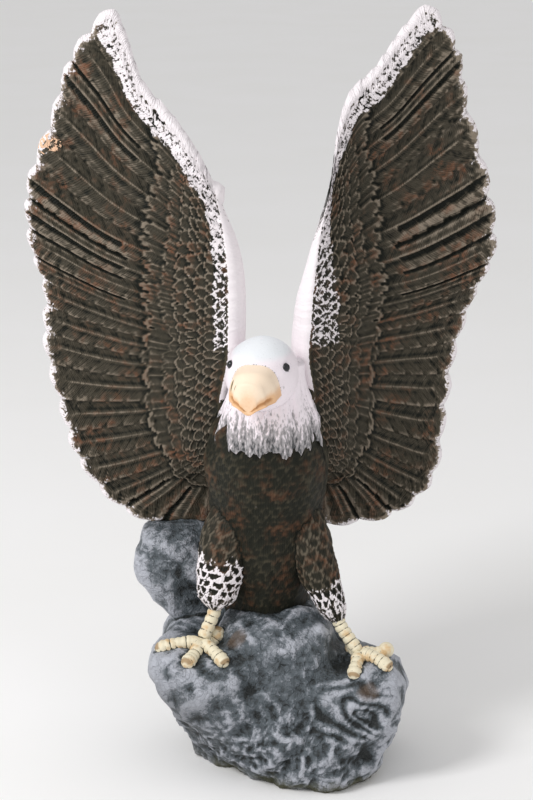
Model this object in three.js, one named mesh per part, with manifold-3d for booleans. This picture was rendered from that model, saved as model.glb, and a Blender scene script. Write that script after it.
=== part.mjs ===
// A cast-stone garden eagle on a rock, in millimetres, +Z up, facing -Y.
// The eagle stands with both wings raised over its head, which looks down and a little to its
// right. Rock, bird and wings are one casting, so every form below is joined into one solid.
// The origin is on the flat underside of the rock, below the middle of the eagle's body.
import * as THREE from "three";
import Module from "manifold-3d";

const wasm = await Module();
wasm.setup();
const { lerp, smoothstep, clamp, degToRad } = THREE.MathUtils;
const vec = (x, y, z) => new THREE.Vector3(x, y, z);

// Driving sizes of the rock
const ROCK_WIDTH = 326;
const ROCK_DEPTH = 236;
const ROCK_HEIGHT = 212; // top of the slab between the eagle's feet
const LEDGE_DROP = 40; // from there down to the ledge that the eagle's right foot stands on
const OUTCROP_RISE = 84; // from there up to the top of the pillar behind that foot
const LEDGE_HEIGHT = ROCK_HEIGHT - LEDGE_DROP;
const OUTCROP_HEIGHT = ROCK_HEIGHT + OUTCROP_RISE;

// Driving sizes of the bird
const BIRD_HEIGHT = 786; // from the ledge under the right foot to the wing tips
const CHEST_WIDTH = 156;
const CHEST_DEPTH = 160;
const HEAD_LENGTH = 104;
const HEAD_WIDTH = 90;
const HEAD_HEIGHT = 92;
const HEAD_YAW = 12; // degrees, towards the eagle's right
const HEAD_PITCH = 5; // degrees, downwards
const BEAK_LENGTH = 31; // beyond the front of the head
const BEAK_WIDTH = 62; // at the corners of the mouth
const BEAK_HEIGHT = 44;
const EYE_RADIUS = 5.5;
const SHANK_RADIUS = 8;
const TOE_RADIUS = 8;
const KNOB_RADIUS = 10; // ball at the end of the left foot's third toe
const RUFF_LOCKS = 12; // pointed locks round the hem of the white neck feathers
const RUFF_POINT = 14;
const RUFF_STAND = 6; // how far a lock stands off the breast
const RUFF_SHIFT = 3; // how far the ruff lies towards the eagle's left
const TAIL_WIDTH = 150;
const TAIL_LENGTH = 190;
const TAIL_THICKNESS = 30;
const TAIL_FEATHERS = 7;

// Driving sizes of a wing
const FLIGHTS = 19; // long feathers along the trailing edge
const SHOULDER_THICKNESS = 46; // leading edge beside the shoulder
const WRIST_THICKNESS = 36;
const EDGE_THICKNESS = 13; // trailing edge
const CAMBER = 15; // how far the middle of the wing lies behind its edges
const FEATHER_STEP = 5; // how far one long feather stands over the next
const COVERT_STEP = 4; // how far a row of short feathers stands over the next row
const SCALLOP = 7; // how far a rounded feather tip stands out of the outline

// Solids from grids

// A closed solid from vertices and triangles that already share their vertices.
function solidOf(points, triangles) {
  const vertProperties = new Float32Array(points.flatMap((p) => [p.x, p.y, p.z]));
  const triVerts = new Uint32Array(triangles.flat());
  return new wasm.Manifold(new wasm.Mesh({ numProp: 3, vertProperties, triVerts }));
}

// The two triangles of a quad whose corners run anticlockwise seen from outside.
const quad = (a, b, c, d) => [[a, b, c], [a, c, d]];

// A solid whose sections are closed rings, stacked from the first to the last and capped by a
// point at each end. shape(share along, share around) gives a point; around runs
// anticlockwise seen from the last section.
function ringSolid(sections, around, shape) {
  const points = [];
  const triangles = [];
  for (let i = 1; i < sections; i++)
    for (let j = 0; j < around; j++) points.push(shape(i / sections, j / around));
  const at = (i, j) => (i - 1) * around + (j % around);
  for (let i = 1; i < sections - 1; i++)
    for (let j = 0; j < around; j++)
      triangles.push(...quad(at(i, j), at(i, j + 1), at(i + 1, j + 1), at(i + 1, j)));
  const first = points.push(shape(0, 0)) - 1;
  const last = points.push(shape(1, 0)) - 1;
  for (let j = 0; j < around; j++) {
    triangles.push([first, at(1, j + 1), at(1, j)]);
    triangles.push([last, at(sections - 1, j), at(sections - 1, j + 1)]);
  }
  return solidOf(points, triangles);
}

// A ball-like solid: shape(direction) gives the point that lies in that direction.
function ballSolid(sections, around, shape) {
  return ringSolid(sections, around, (v, u) => {
    const polar = Math.PI * (1 - v);
    const turn = 2 * Math.PI * u;
    const level = Math.sin(polar);
    return shape(vec(level * Math.cos(turn), level * Math.sin(turn), Math.cos(polar)));
  });
}

// A round bar through points, with domed ends. radius(share along) is its radius, and over is
// a direction that the bar never runs along, from which its sides are set out.
function barSolid(points, radius, over, { steps, around, dome = 0.12 }) {
  const curve = new THREE.CatmullRomCurve3(points);
  return ringSolid(steps, around, (v, u) => {
    const middle = curve.getPoint(v);
    const along = curve.getTangent(v);
    const side = over.clone().cross(along).normalize();
    const up = along.clone().cross(side);
    const short = 1 - Math.min(Math.min(v, 1 - v) / dome, 1);
    const r = radius(v) * Math.sqrt(1 - short * short);
    const turn = 2 * Math.PI * u;
    return middle.addScaledVector(side, r * Math.cos(turn)).addScaledVector(up, r * Math.sin(turn));
  });
}

// A value that eases from station to station, [share, value], with no overshoot.
function ease(stations, share) {
  const next = stations.findIndex(([at]) => at >= share);
  if (next === 0) return stations[0][1];
  if (next < 0) return stations.at(-1)[1];
  const [a, b] = [stations[next - 1], stations[next]];
  return lerp(a[1], b[1], smoothstep(share, a[0], b[0]));
}

// The rock, as a field that is negative inside it

// Blobs of the rock at their reference size: middle, then radii.
const REFERENCE_ROCK = { width: 326, depth: 236, height: 212 };
const ROCK_BLOBS = [
  [24, 2, 60, 130, 112, 100], // core
  [56, -50, 40, 84, 74, 64], // prow under the slab
  [-76, -34, 116, 66, 84, 55], // ledge under the right foot
  [110, -30, 90, 72, 80, 61], // ledge under the left foot
  [12, -10, 142, 76, 84, 76], // slab between the feet
  [2, 62, 108, 92, 62, 92], // back, under the tail
  [-92, 50, 120, 48, 54, 52], // root of the pillar
  [-117, -52, 151, 28, 42, 23], // lip under the right foot's outer toe
  [134, -58, 130, 33, 42, 28], // lip under the left foot's outer toes
];
const ROCK_CUTS = [
  [-0.91, 0, -0.41, -136, 0, 101], // undercut on the eagle's right
  [0.93, 0, -0.36, 174, 0, 62], // undercut on the eagle's left
  [-0.52, -0.62, -0.59, -77, -32, 0], // front under the right foot
  [0.8, -0.3, -0.52, 124, -106, 0], // front under the left foot
];
const ROCK_BOXINESS = 2.8; // 2 would leave the blobs round
const ROCK_BLEND = 16; // radius of the hollow where two blobs meet

const toReference = (p) =>
  vec(
    (p.x * REFERENCE_ROCK.width) / ROCK_WIDTH,
    (p.y * REFERENCE_ROCK.depth) / ROCK_DEPTH,
    (p.z * REFERENCE_ROCK.height) / ROCK_HEIGHT,
  );

// Length of (x, y, z) by the measure that makes a ball boxy.
function boxyLength(x, y, z) {
  const sum = [x, y, z].reduce((total, part) => total + Math.abs(part) ** ROCK_BOXINESS, 0);
  return sum ** (1 / ROCK_BOXINESS);
}

// How far p lies outside one blob, about in millimetres.
const blobField = (p, [x, y, z, rx, ry, rz]) =>
  (boxyLength((p.x - x) / rx, (p.y - y) / ry, (p.z - z) / rz) - 1) * Math.min(rx, ry, rz);

// The smaller of two fields, with the crease between them filled to a hollow.
function blendFields(a, b, radius) {
  const h = clamp(0.5 + (0.5 * (b - a)) / radius, 0, 1);
  return lerp(b, a, h) - radius * h * (1 - h);
}

const lumps = (p) =>
  4 * Math.sin(p.x / 23 + 1.3) * Math.sin(p.y / 27 + 0.4) * Math.sin(p.z / 19 + 0.7) +
  2.2 * Math.sin(p.x / 11 - p.z / 14) * Math.cos(p.y / 12 + p.z / 17);

function rockField(point) {
  const p = toReference(point);
  let field = blobField(p, ROCK_BLOBS[0]);
  for (const blob of ROCK_BLOBS.slice(1)) field = blendFields(field, blobField(p, blob), ROCK_BLEND);
  for (const [nx, ny, nz, x, y, z] of ROCK_CUTS) {
    const beyond = vec(nx, ny, nz).dot(vec(p.x - x, p.y - y, p.z - z));
    field = -blendFields(-field, -beyond, ROCK_BLEND);
  }
  return field + lumps(p);
}

// Where a ray from a point inside a field leaves it.
function leave(field, from, direction, reach) {
  let inside = 0;
  let outside = reach;
  for (let i = 0; i < 22; i++) {
    const half = (inside + outside) / 2;
    if (field(from.clone().addScaledVector(direction, half)) < 0) inside = half;
    else outside = half;
  }
  return from.clone().addScaledVector(direction, inside);
}

const ROCK_HEART = vec(0.06 * ROCK_WIDTH, 0.02 * ROCK_DEPTH, 0.32 * ROCK_HEIGHT);
const SEARCH = 2 * Math.max(ROCK_WIDTH, ROCK_DEPTH, ROCK_HEIGHT);

const mainRock = () => ballSolid(20, 32, (d) => leave(rockField, ROCK_HEART, d, SEARCH));

// Height of the rock's top over a point of the plan.
function rockTop(x, y) {
  let z = OUTCROP_HEIGHT;
  while (z > 0 && rockField(vec(x, y, z)) > 0) z -= 0.5;
  return z;
}

// The pillar behind the right foot, which the wing's lower edge rests on.
function outcrop() {
  const heart = vec(-0.35 * ROCK_WIDTH, 0.29 * ROCK_DEPTH, 0.86 * OUTCROP_HEIGHT);
  const up = OUTCROP_HEIGHT - heart.z;
  const down = heart.z - 0.66 * ROCK_HEIGHT;
  const wide = 0.175 * ROCK_WIDTH;
  const deep = 0.18 * ROCK_DEPTH;
  return ballSolid(12, 16, (d) => {
    const foot = smoothstep(-d.z, 0.1, 0.95);
    const waist = 1 - 0.3 * foot;
    const wave = (1 + 0.05 * Math.sin(6 * d.z + 4 * d.x)) / boxyLength(d.x, d.y, d.z);
    const lean = 0.1 * ROCK_WIDTH * foot;
    const tall = d.z > 0 ? up : down;
    return heart
      .clone()
      .add(vec(wide * waist * d.x, deep * waist * d.y, tall * d.z).multiplyScalar(wave))
      .add(vec(lean, 0, 0));
  });
}

// The bird's own frame: heights over the ledge under its right foot

const RIGHT_FOOT = [-0.25 * ROCK_WIDTH, -0.26 * ROCK_DEPTH];
const LEFT_FOOT = [0.36 * ROCK_WIDTH, -0.26 * ROCK_DEPTH];
const REFERENCE_BIRD = 786;
const BIRD = BIRD_HEIGHT / REFERENCE_BIRD;
const bird = (x, y, z) => vec(BIRD * x, BIRD * y, LEDGE_HEIGHT + BIRD * z);

// The trunk from its root in the rock to the neck inside the head. Widths and depths are
// shares of the chest's, heights are over the ledge.
function trunk() {
  const low = -30;
  const high = 356;
  const wide = [[0, 0.6], [0.2, 0.72], [0.45, 0.9], [0.68, 1], [0.78, 0.9], [0.88, 0.64], [1, 0.46]];
  const front = [[0, -0.4], [0.16, -0.56], [0.42, -0.8], [0.68, -1], [0.85, -1], [1, -0.98]];
  const rear = [[0, 1.15], [0.16, 1.2], [0.4, 1.1], [0.68, 0.98], [0.84, 0.66], [1, -0.1]];
  return ringSolid(13, 20, (v, u) => {
    const open = v === 0 || v === 1 ? 0 : 1;
    const turn = 2 * Math.PI * u;
    const y0 = (ease(front, v) * CHEST_DEPTH) / 2;
    const y1 = (ease(rear, v) * CHEST_DEPTH) / 2;
    const x = ((ease(wide, v) * CHEST_WIDTH) / 2) * open * Math.cos(turn);
    const y = (y0 + y1) / 2 + ((y1 - y0) / 2) * open * Math.sin(turn);
    return vec(x, y, LEDGE_HEIGHT + BIRD * lerp(low, high, v));
  });
}

// The white ruff of the neck: a skirt over the breast whose hem runs in pointed locks.
function ruff() {
  const sections = 6;
  return ringSolid(sections, 3 * RUFF_LOCKS, (v, u) => {
    const turn = 2 * Math.PI * u;
    const throat = 0.5 - 0.5 * Math.sin(turn);
    const lock = 1 - Math.abs(2 * ((u * RUFF_LOCKS) % 1) - 1);
    const fall = 1 - v;
    const full = smoothstep(fall, 0.05, 0.85);
    const wide = (lerp(0.56, 0.8, full) * CHEST_WIDTH) / 2 + RUFF_STAND * lock * full;
    const y0 = (-lerp(1, 1.06, full) * CHEST_DEPTH) / 2 - RUFF_STAND * lock * full;
    const y1 = (lerp(-0.1, 0.62, full) * CHEST_DEPTH) / 2;
    const hem = 272 - 14 * throat - RUFF_POINT * (lock - 0.5);
    const open = v === 0 || v === 1 ? 0 : 1;
    const first = 1 / sections;
    const z = v === 0 ? 284 : lerp(hem, 372, clamp((v - first) / (1 - first), 0, 1));
    return vec(
      RUFF_SHIFT + wide * open * Math.cos(turn),
      (y0 + y1) / 2 + ((y1 - y0) / 2) * open * Math.sin(turn),
      LEDGE_HEIGHT + BIRD * z,
    );
  });
}

// A solid between two sheets of points over one grid. front(i, j) and back(i, j) give the
// points, i along and j across, so that j crossed with i points from back to front; rim(f, b,
// i, j) gives the middle of the rounded edge that joins them.
function sheetSolid(ni, nj, front, back, rim) {
  const points = [];
  const triangles = [];
  for (const sheet of [front, back])
    for (let i = 0; i < ni; i++) for (let j = 0; j < nj; j++) points.push(sheet(i, j));
  const f = (i, j) => i * nj + j;
  const b = (i, j) => ni * nj + i * nj + j;
  for (let i = 0; i < ni - 1; i++)
    for (let j = 0; j < nj - 1; j++) {
      triangles.push(...quad(f(i, j), f(i, j + 1), f(i + 1, j + 1), f(i + 1, j)));
      triangles.push(...quad(b(i, j), b(i + 1, j), b(i + 1, j + 1), b(i, j + 1)));
    }
  const loop = [];
  for (let j = 0; j < nj - 1; j++) loop.push([0, j]);
  for (let i = 0; i < ni - 1; i++) loop.push([i, nj - 1]);
  for (let j = nj - 1; j > 0; j--) loop.push([ni - 1, j]);
  for (let i = ni - 1; i > 0; i--) loop.push([i, 0]);
  const middle = loop.map(([i, j]) => points.push(rim(points[f(i, j)], points[b(i, j)], i, j)) - 1);
  loop.forEach(([i, j], k) => {
    const next = (k + 1) % loop.length;
    const [ni2, nj2] = loop[next];
    triangles.push(...quad(f(i, j), middle[k], middle[next], f(ni2, nj2)));
    triangles.push(...quad(middle[k], b(i, j), b(ni2, nj2), middle[next]));
  });
  return solidOf(points, triangles);
}

// The fan of the tail, which runs down behind the body onto the rock.
function tail() {
  const cells = 2 * TAIL_FEATHERS;
  const rows = 3;
  const top = 220;
  const place = (i, j, sign) => {
    const t = i / rows;
    const a = j / cells;
    const lock = 2 * ((a * TAIL_FEATHERS) % 1) - 1;
    const spread = lerp(0.6, 1, t) * TAIL_WIDTH * (a - 0.5);
    const bow = 0.17 * TAIL_WIDTH * (1 - Math.pow(2 * a - 1, 2));
    const carved = sign > 0 ? FEATHER_STEP * 0.7 * (0.5 - Math.abs(lock)) * t : 0;
    const tip = t === 1 ? 10 * (1 - lock * lock) : 0;
    const y = lerp(0.36, 0.74, t) * CHEST_DEPTH + bow + (sign * TAIL_THICKNESS) / 2 + carved;
    return vec(spread, y, LEDGE_HEIGHT + BIRD * top - TAIL_LENGTH * t - tip);
  };
  return sheetSolid(
    rows + 1,
    cells + 1,
    (i, j) => place(i, j, 1),
    (i, j) => place(i, j, -1),
    (f, b) => f.clone().lerp(b, 0.5),
  );
}

// The head, in its own frame: +X along the beak, +Y to the eagle's left, +Z up

const headFrame = new THREE.Matrix4()
  .makeTranslation(...bird(-5, -56, 357).toArray())
  .multiply(new THREE.Matrix4().makeRotationZ(degToRad(-90 - HEAD_YAW)))
  .multiply(new THREE.Matrix4().makeRotationY(degToRad(HEAD_PITCH)));
const inHead = (x, y, z) => vec(x, y, z).applyMatrix4(headFrame);
const EYE_TURN = degToRad(60); // each eye lies this far round from the beak
const EYE_RISE = 0.42; // and this far up, as a share of half the head's height
const EYE_DEPTH = 0.94; // its middle lies at this share of the way out to the skull's surface

const skull = () =>
  ballSolid(10, 18, (d) => {
    const heading = Math.atan2(Math.abs(d.y), d.x);
    const near = (rise, spread) =>
      Math.exp(-Math.pow((d.z - rise) / 0.14, 2) - Math.pow((heading - EYE_TURN) / spread, 2));
    const brow = near(EYE_RISE + 0.24, 0.5);
    const socket = near(EYE_RISE, 0.35);
    const carved = 1 + 0.05 * brow - 0.05 * socket;
    return inHead(
      (HEAD_LENGTH / 2) * d.x * carved,
      (HEAD_WIDTH / 2) * d.y * carved,
      (HEAD_HEIGHT / 2) * d.z,
    );
  });

// Upper beak: arched over the mouth's edge, widest there, tapering and turning down to the hook.
function upperBeak() {
  const root = 0.3 * HEAD_LENGTH;
  const length = 0.5 * HEAD_LENGTH + BEAK_LENGTH - root;
  const wide = [[0, 1], [0.3, 0.94], [0.6, 0.66], [0.85, 0.36], [1, 0.16]];
  const ridge = [[0, 0.62], [0.4, 0.58], [0.7, 0.38], [0.9, 0.02], [1, -0.26]];
  const edge = [[0, -0.28], [0.6, -0.28], [0.85, -0.34], [1, -0.42]];
  return ringSolid(9, 12, (v, u) => {
    const turn = 2 * Math.PI * u;
    const open = v === 0 || v === 1 ? 0 : 1;
    const [across, up] = [open * Math.cos(turn), open * Math.sin(turn)];
    const [high, low] = [ease(ridge, v), ease(edge, v)];
    return inHead(
      root + length * Math.sin(1.65 * v),
      (BEAK_WIDTH / 2) * ease(wide, v) * Math.sign(across) * Math.pow(Math.abs(across), 0.75),
      BEAK_HEIGHT * (up > 0 ? lerp(low, high, Math.pow(up, 0.85)) : low + 0.1 * up),
    );
  });
}

// Lower beak: shorter and narrower, shut against the upper one.
const lowerBeak = () =>
  barSolid(
    [
      inHead(0.3 * HEAD_LENGTH, 0, -0.2 * BEAK_HEIGHT),
      inHead(0.5 * HEAD_LENGTH + 0.3 * BEAK_LENGTH, 0, -0.24 * BEAK_HEIGHT),
      inHead(0.5 * HEAD_LENGTH + 0.66 * BEAK_LENGTH, 0, -0.32 * BEAK_HEIGHT),
    ],
    (t) => 0.34 * BEAK_WIDTH * (1 - 0.5 * t),
    vec(0, 0, 1),
    { steps: 6, around: 10, dome: 0.3 },
  );

const eyes = () => {
  const level = Math.sqrt(1 - EYE_RISE * EYE_RISE);
  const ahead = (HEAD_LENGTH / 2) * EYE_DEPTH * level * Math.cos(EYE_TURN);
  const out = (HEAD_WIDTH / 2) * EYE_DEPTH * level * Math.sin(EYE_TURN);
  const up = (HEAD_HEIGHT / 2) * EYE_DEPTH * EYE_RISE;
  return [-1, 1].map((side) =>
    ballSolid(5, 8, (d) =>
      inHead(ahead + EYE_RADIUS * d.x, side * out + EYE_RADIUS * d.y, up + EYE_RADIUS * d.z),
    ),
  );
};

// Legs and feet. Toes are set out from the foot by heading, in degrees from straight ahead
// towards the eagle's left, and by length; they lie on the rock wherever that is.

const LEGS = [
  {
    foot: RIGHT_FOOT,
    hip: [-32, 0, 204],
    knee: [-56, -36, 105],
    hock: [-66, -46, 44],
    girth: [[0, 22], [0.35, 33], [0.55, 30], [0.8, 25], [1, 13]],
    toes: [[-88, 60], [-26, 46], [42, 48], [128, 30]],
  },
  {
    foot: LEFT_FOOT,
    hip: [28, 0, 204],
    knee: [60, -34, 108],
    hock: [93, -46, 26],
    girth: [[0, 22], [0.35, 30], [0.55, 26], [0.8, 19], [1, 11]],
    toes: [[-14, 38], [56, 48], [96, 38], [200, 32]],
    knobs: [2],
  },
];

function leg({ foot: [fx, fy], hip, knee, hock, girth, toes, knobs = [] }) {
  const foot = vec(fx, fy, rockTop(fx, fy) + TOE_RADIUS);
  const [top, bend, low] = [hip, knee, hock].map((station) => bird(...station));
  const upright = vec(0, 1, 0);
  const thigh = barSolid([top, bend, low], (t) => BIRD * ease(girth, t), upright, {
    steps: 9,
    around: 12,
  });
  const above = low.clone().lerp(bend, 0.35);
  const shank = barSolid([above, low, foot], () => SHANK_RADIUS, upright, { steps: 6, around: 8 });
  const on = ([heading, length], share) => {
    const x = fx + share * length * Math.sin(degToRad(heading));
    const y = fy - share * length * Math.cos(degToRad(heading));
    const steepest = foot.z - 0.55 * share * length;
    return vec(x, y, Math.max(rockTop(x, y) + 0.55 * TOE_RADIUS, steepest));
  };
  const knuckle = (t) => TOE_RADIUS * (1 + 0.1 * Math.sin(10 * t));
  const toeBars = toes.map((toe) =>
    barSolid([foot, on(toe, 0.5), on(toe, 1)], knuckle, vec(0, 0, 1), { steps: 6, around: 7, dome: 0.2 }),
  );
  const balls = knobs.map((number) => {
    const middle = on(toes[number], 0.9).add(vec(0, 0, 0.5 * KNOB_RADIUS));
    return ballSolid(6, 8, (d) => middle.clone().addScaledVector(d, KNOB_RADIUS));
  });
  return [thigh, shank, ...toeBars, ...balls];
}

// The wings

// Each wing is a patch between edges, in stations of outward reach, depth and height: arm,
// the leading edge from the wrist down to the armpit; hand, the leading edge from the wrist
// up to the tip; trail, the trailing edge from the tip round to the body. sag is how far the
// feathers' shafts hang below a straight line, as a share of their length.
const WINGS = [
  {
    side: -1,
    sag: 0.3,
    arm: [
      [62, 26, 566], [51, 22, 516], [46, 18, 462], [46, 14, 408],
      [48, 12, 364], [58, 18, 312], [60, 32, 254], [58, 44, 216],
    ],
    hand: [
      [62, 26, 566], [86, 32, 606], [114, 42, 644],
      [154, 54, 690], [172, 66, 738], [190, 76, 782],
    ],
    trail: [
      [190, 76, 782], [237, 88, 722], [266, 98, 640], [298, 106, 556], [297, 108, 482], [280, 108, 424],
      [281, 106, 356], [262, 102, 268], [237, 96, 196], [180, 88, 136], [80, 74, 112],
    ],
  },
  {
    side: 1,
    sag: 0.2,
    arm: [
      [78, 26, 572], [66, 22, 520], [58, 18, 460], [54, 14, 412],
      [52, 12, 366], [60, 18, 312], [62, 32, 254], [60, 44, 216],
    ],
    hand: [
      [78, 26, 572], [88, 34, 630], [104, 44, 676],
      [134, 54, 706], [160, 64, 742], [196, 76, 786],
    ],
    trail: [
      [196, 76, 786], [230, 84, 736], [246, 94, 664], [276, 104, 560], [286, 108, 474], [260, 106, 414],
      [238, 104, 344], [227, 100, 262], [212, 94, 176], [162, 86, 132], [76, 74, 122],
    ],
  },
];

// Rows of the carving: share of the chord, feathers that stand over the long ones there, and
// how far their rounded tips swing the row.
const CARVED_ROWS = [
  [0, 2, 0], [0.12, 2, 0], [0.27, 2, 0.02], [0.285, 1, 0.02],
  [0.51, 1, 0.035], [0.53, 0, 0.035], [0.78, 0, 0], [1, 0, 0],
];

function wing({ side, sag, arm, hand, trail }) {
  const curve = (stations) =>
    new THREE.CatmullRomCurve3(stations.map(([out, y, z]) => bird(side * out, y, z)));
  const [armLine, handLine, trailLine] = [arm, hand, trail].map(curve);
  const wrist = armLine.getPoint(0);
  const tip = trailLine.getPoint(0);

  // Middle of the wing's thickness, at share s from the tip feather to the innermost one and
  // share t from the leading edge to the feather tips.
  const middle = (s, t) => {
    const from = armLine.getPoint(s);
    const to = trailLine.getPoint(s);
    const p = from.clone().lerp(to, t);
    const handBend = handLine.getPoint(t).sub(wrist.clone().lerp(tip, t));
    p.addScaledVector(handBend, Math.pow(1 - s, 3));
    const hang = smoothstep(s, 0, 0.35) * (1 - smoothstep(s, 0.8, 1));
    p.z -= sag * from.distanceTo(to) * t * (1 - t) * hang;
    p.y += CAMBER * 4 * t * (1 - t) * Math.min(1, 4 * s);
    return p;
  };
  const thickness = (s, t) => {
    const nose = lerp(WRIST_THICKNESS, SHOULDER_THICKNESS, smoothstep(s, 0, 0.6));
    const arm = lerp(nose, EDGE_THICKNESS, smoothstep(t, 0.02, 0.5));
    const hand = lerp(0.6 * WRIST_THICKNESS, EDGE_THICKNESS, t);
    return lerp(hand, arm, smoothstep(s, -0.02, 0.12));
  };

  // Where a feather's own width runs from 0 to 1, and how its rounded tip swells.
  const across = (s) => (s * FLIGHTS) % 1;
  const swell = (s) => 1 - Math.pow(2 * across(s) - 1, 2);
  const carved = (s, t, layer) => {
    const lean = FEATHER_STEP * (0.5 - across(s)) + 1.6 * swell(s);
    return lean * smoothstep(t, 0.2, 0.6) + COVERT_STEP * (layer === 2 ? 1.6 : layer);
  };
  const columns = [];
  for (let i = 0; i < FLIGHTS; i++)
    for (const share of [0.03, 0.5, 0.97]) columns.push((i + share) / FLIGHTS);
  columns[0] = 0;
  columns[columns.length - 1] = 1;

  const place = (i, j, face) => {
    const s = columns[i];
    const [row, layer, swing] = CARVED_ROWS[j];
    const t = row + swing * (swell(s) - 0.5);
    const p = middle(s, t);
    if (t > 0.75) {
      const outward = p.clone().sub(middle(s, t - 0.05)).normalize();
      p.addScaledVector(outward, smoothstep(t, 0.75, 1) * SCALLOP * (swell(s) - 0.6));
    }
    p.y -= face * (thickness(s, t) / 2 + carved(s, t, layer));
    return p;
  };
  const rounded = (f, b, i, j) => {
    const s = columns[i];
    const t = CARVED_ROWS[j][0];
    const inner = middle(clamp(s, 0.03, 0.97), clamp(t, 0.04, 0.96));
    const out = middle(s, t).sub(inner).setY(0).normalize();
    return f.clone().lerp(b, 0.5).addScaledVector(out, 0.36 * f.distanceTo(b));
  };
  const last = columns.length - 1;
  const turn = (i) => (side < 0 ? last - i : i);
  return sheetSolid(
    columns.length,
    CARVED_ROWS.length,
    (i, j) => place(turn(i), j, -1),
    (i, j) => place(turn(i), j, 1),
    (f, b, i, j) => rounded(f, b, turn(i), j),
  );
}

// The casting

const forms = [
  mainRock(),
  outcrop(),
  trunk(),
  ruff(),
  tail(),
  skull(),
  upperBeak(),
  lowerBeak(),
  ...eyes(),
  ...LEGS.flatMap(leg),
  ...WINGS.map(wing),
];
const underside = [0, 0, 1];
const casting = wasm.Manifold.union(forms).trimByPlane(underside, 0).getMesh();

const geometry = new THREE.BufferGeometry();
geometry.setAttribute("position", new THREE.BufferAttribute(casting.vertProperties, 3));
geometry.setIndex(new THREE.BufferAttribute(casting.triVerts, 1));
geometry.computeVertexNormals();
const paintedStone = new THREE.MeshStandardMaterial({ color: 0x4a3f34, roughness: 0.72, metalness: 0 });
const eagle = new THREE.Mesh(geometry, paintedStone);
eagle.name = "eagle_on_rock";

const statue = new THREE.Group();
statue.add(eagle);
export default statue;
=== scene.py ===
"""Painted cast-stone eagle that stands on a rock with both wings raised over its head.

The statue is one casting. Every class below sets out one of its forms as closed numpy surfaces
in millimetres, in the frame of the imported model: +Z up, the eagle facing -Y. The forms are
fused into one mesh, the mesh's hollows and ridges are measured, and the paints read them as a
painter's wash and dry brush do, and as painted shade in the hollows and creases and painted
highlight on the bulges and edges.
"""

import itertools
import logging
import math
from dataclasses import dataclass, field
from enum import Enum
from typing import Callable, Sequence

import bpy
import numpy as np
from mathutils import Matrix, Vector


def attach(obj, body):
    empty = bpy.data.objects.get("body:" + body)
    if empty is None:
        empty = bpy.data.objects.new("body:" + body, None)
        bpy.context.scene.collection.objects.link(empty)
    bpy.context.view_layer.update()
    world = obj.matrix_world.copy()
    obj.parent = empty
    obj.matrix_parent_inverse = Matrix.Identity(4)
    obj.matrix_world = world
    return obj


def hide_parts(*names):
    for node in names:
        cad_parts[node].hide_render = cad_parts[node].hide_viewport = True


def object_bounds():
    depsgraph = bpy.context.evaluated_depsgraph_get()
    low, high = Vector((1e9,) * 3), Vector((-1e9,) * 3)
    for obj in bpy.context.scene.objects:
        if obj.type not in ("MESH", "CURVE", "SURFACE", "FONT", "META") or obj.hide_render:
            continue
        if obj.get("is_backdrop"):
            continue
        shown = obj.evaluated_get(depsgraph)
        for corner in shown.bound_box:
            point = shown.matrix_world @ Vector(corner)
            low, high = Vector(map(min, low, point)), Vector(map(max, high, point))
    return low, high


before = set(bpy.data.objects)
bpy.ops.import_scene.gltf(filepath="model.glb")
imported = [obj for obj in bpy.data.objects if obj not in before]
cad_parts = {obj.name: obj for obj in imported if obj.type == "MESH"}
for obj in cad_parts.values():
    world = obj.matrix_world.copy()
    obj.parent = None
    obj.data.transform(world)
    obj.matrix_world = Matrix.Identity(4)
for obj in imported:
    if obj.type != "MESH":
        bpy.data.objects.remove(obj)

logging.basicConfig(level=logging.INFO, format="%(name)s: %(message)s")
log = logging.getLogger("eagle")

Array = np.ndarray
Stations = Sequence[tuple[float, float]]

MM = 0.001
NODE = "eagle_on_rock"

# Driving sizes of the statue, as its solid has them
ROCK_WIDTH = 326.0
ROCK_DEPTH = 236.0
ROCK_HEIGHT = 212.0
LEDGE_HEIGHT = 172.0
OUTCROP_HEIGHT = 296.0
CHEST_WIDTH = 156.0
CHEST_DEPTH = 160.0


class Look(Enum):
    """The paints of the casting, numbered as the mesh's material slots."""

    PLUMAGE = 0
    HEAD = 1
    BEAK = 2
    FOOT = 3
    ROCK = 4
    EYE = 5


# Numbers and curves


def lerp(a: Array | float, b: Array | float, share: Array | float) -> Array | float:
    """Value at a share of the way from a to b."""
    return a + (b - a) * share


def smooth(x: Array | float, low: float, high: float) -> Array:
    """Share from 0 to 1 as x goes from low to high, level at both ends."""
    share = np.clip((np.asarray(x, float) - low) / (high - low), 0.0, 1.0)
    return share * share * (3.0 - 2.0 * share)


def bump(x: Array | float, middle: float, width: float) -> Array:
    """Bell of height 1 at the middle, falling to 1/e one width away."""
    return np.exp(-(((np.asarray(x, float) - middle) / width) ** 2))


def ease(stations: Stations, share: Array | float) -> Array:
    """Value that eases from station to station with no overshoot.

    Args:
        stations: Pairs of share and value, in order.
        share: Where the value is wanted.

    Returns:
        The values, level at every station.
    """
    at, value = np.array(stations, float).T
    share = np.clip(np.asarray(share, float), at[0], at[-1])
    k = np.clip(np.searchsorted(at, share) - 1, 0, len(at) - 2)
    part = (share - at[k]) / (at[k + 1] - at[k])
    return lerp(value[k], value[k + 1], part * part * (3.0 - 2.0 * part))


def unit(vectors: Array) -> Array:
    """Vectors at length 1."""
    return vectors / np.maximum(np.linalg.norm(vectors, axis=-1, keepdims=True), 1e-9)


def stack(x: Array | float, y: Array | float, z: Array | float) -> Array:
    """Points from coordinates that broadcast together."""
    return np.stack(np.broadcast_arrays(x, y, z), axis=-1).astype(float)


def scatter(*numbers: Array | float) -> Array:
    """Number from 0 to 1 that looks random but depends on its arguments alone."""
    total = sum(np.asarray(n, float) * k for n, k in zip(numbers, (127.1, 311.7, 74.7, 53.3)))
    return np.modf(np.abs(np.sin(total) * 43758.5453))[0]


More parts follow.
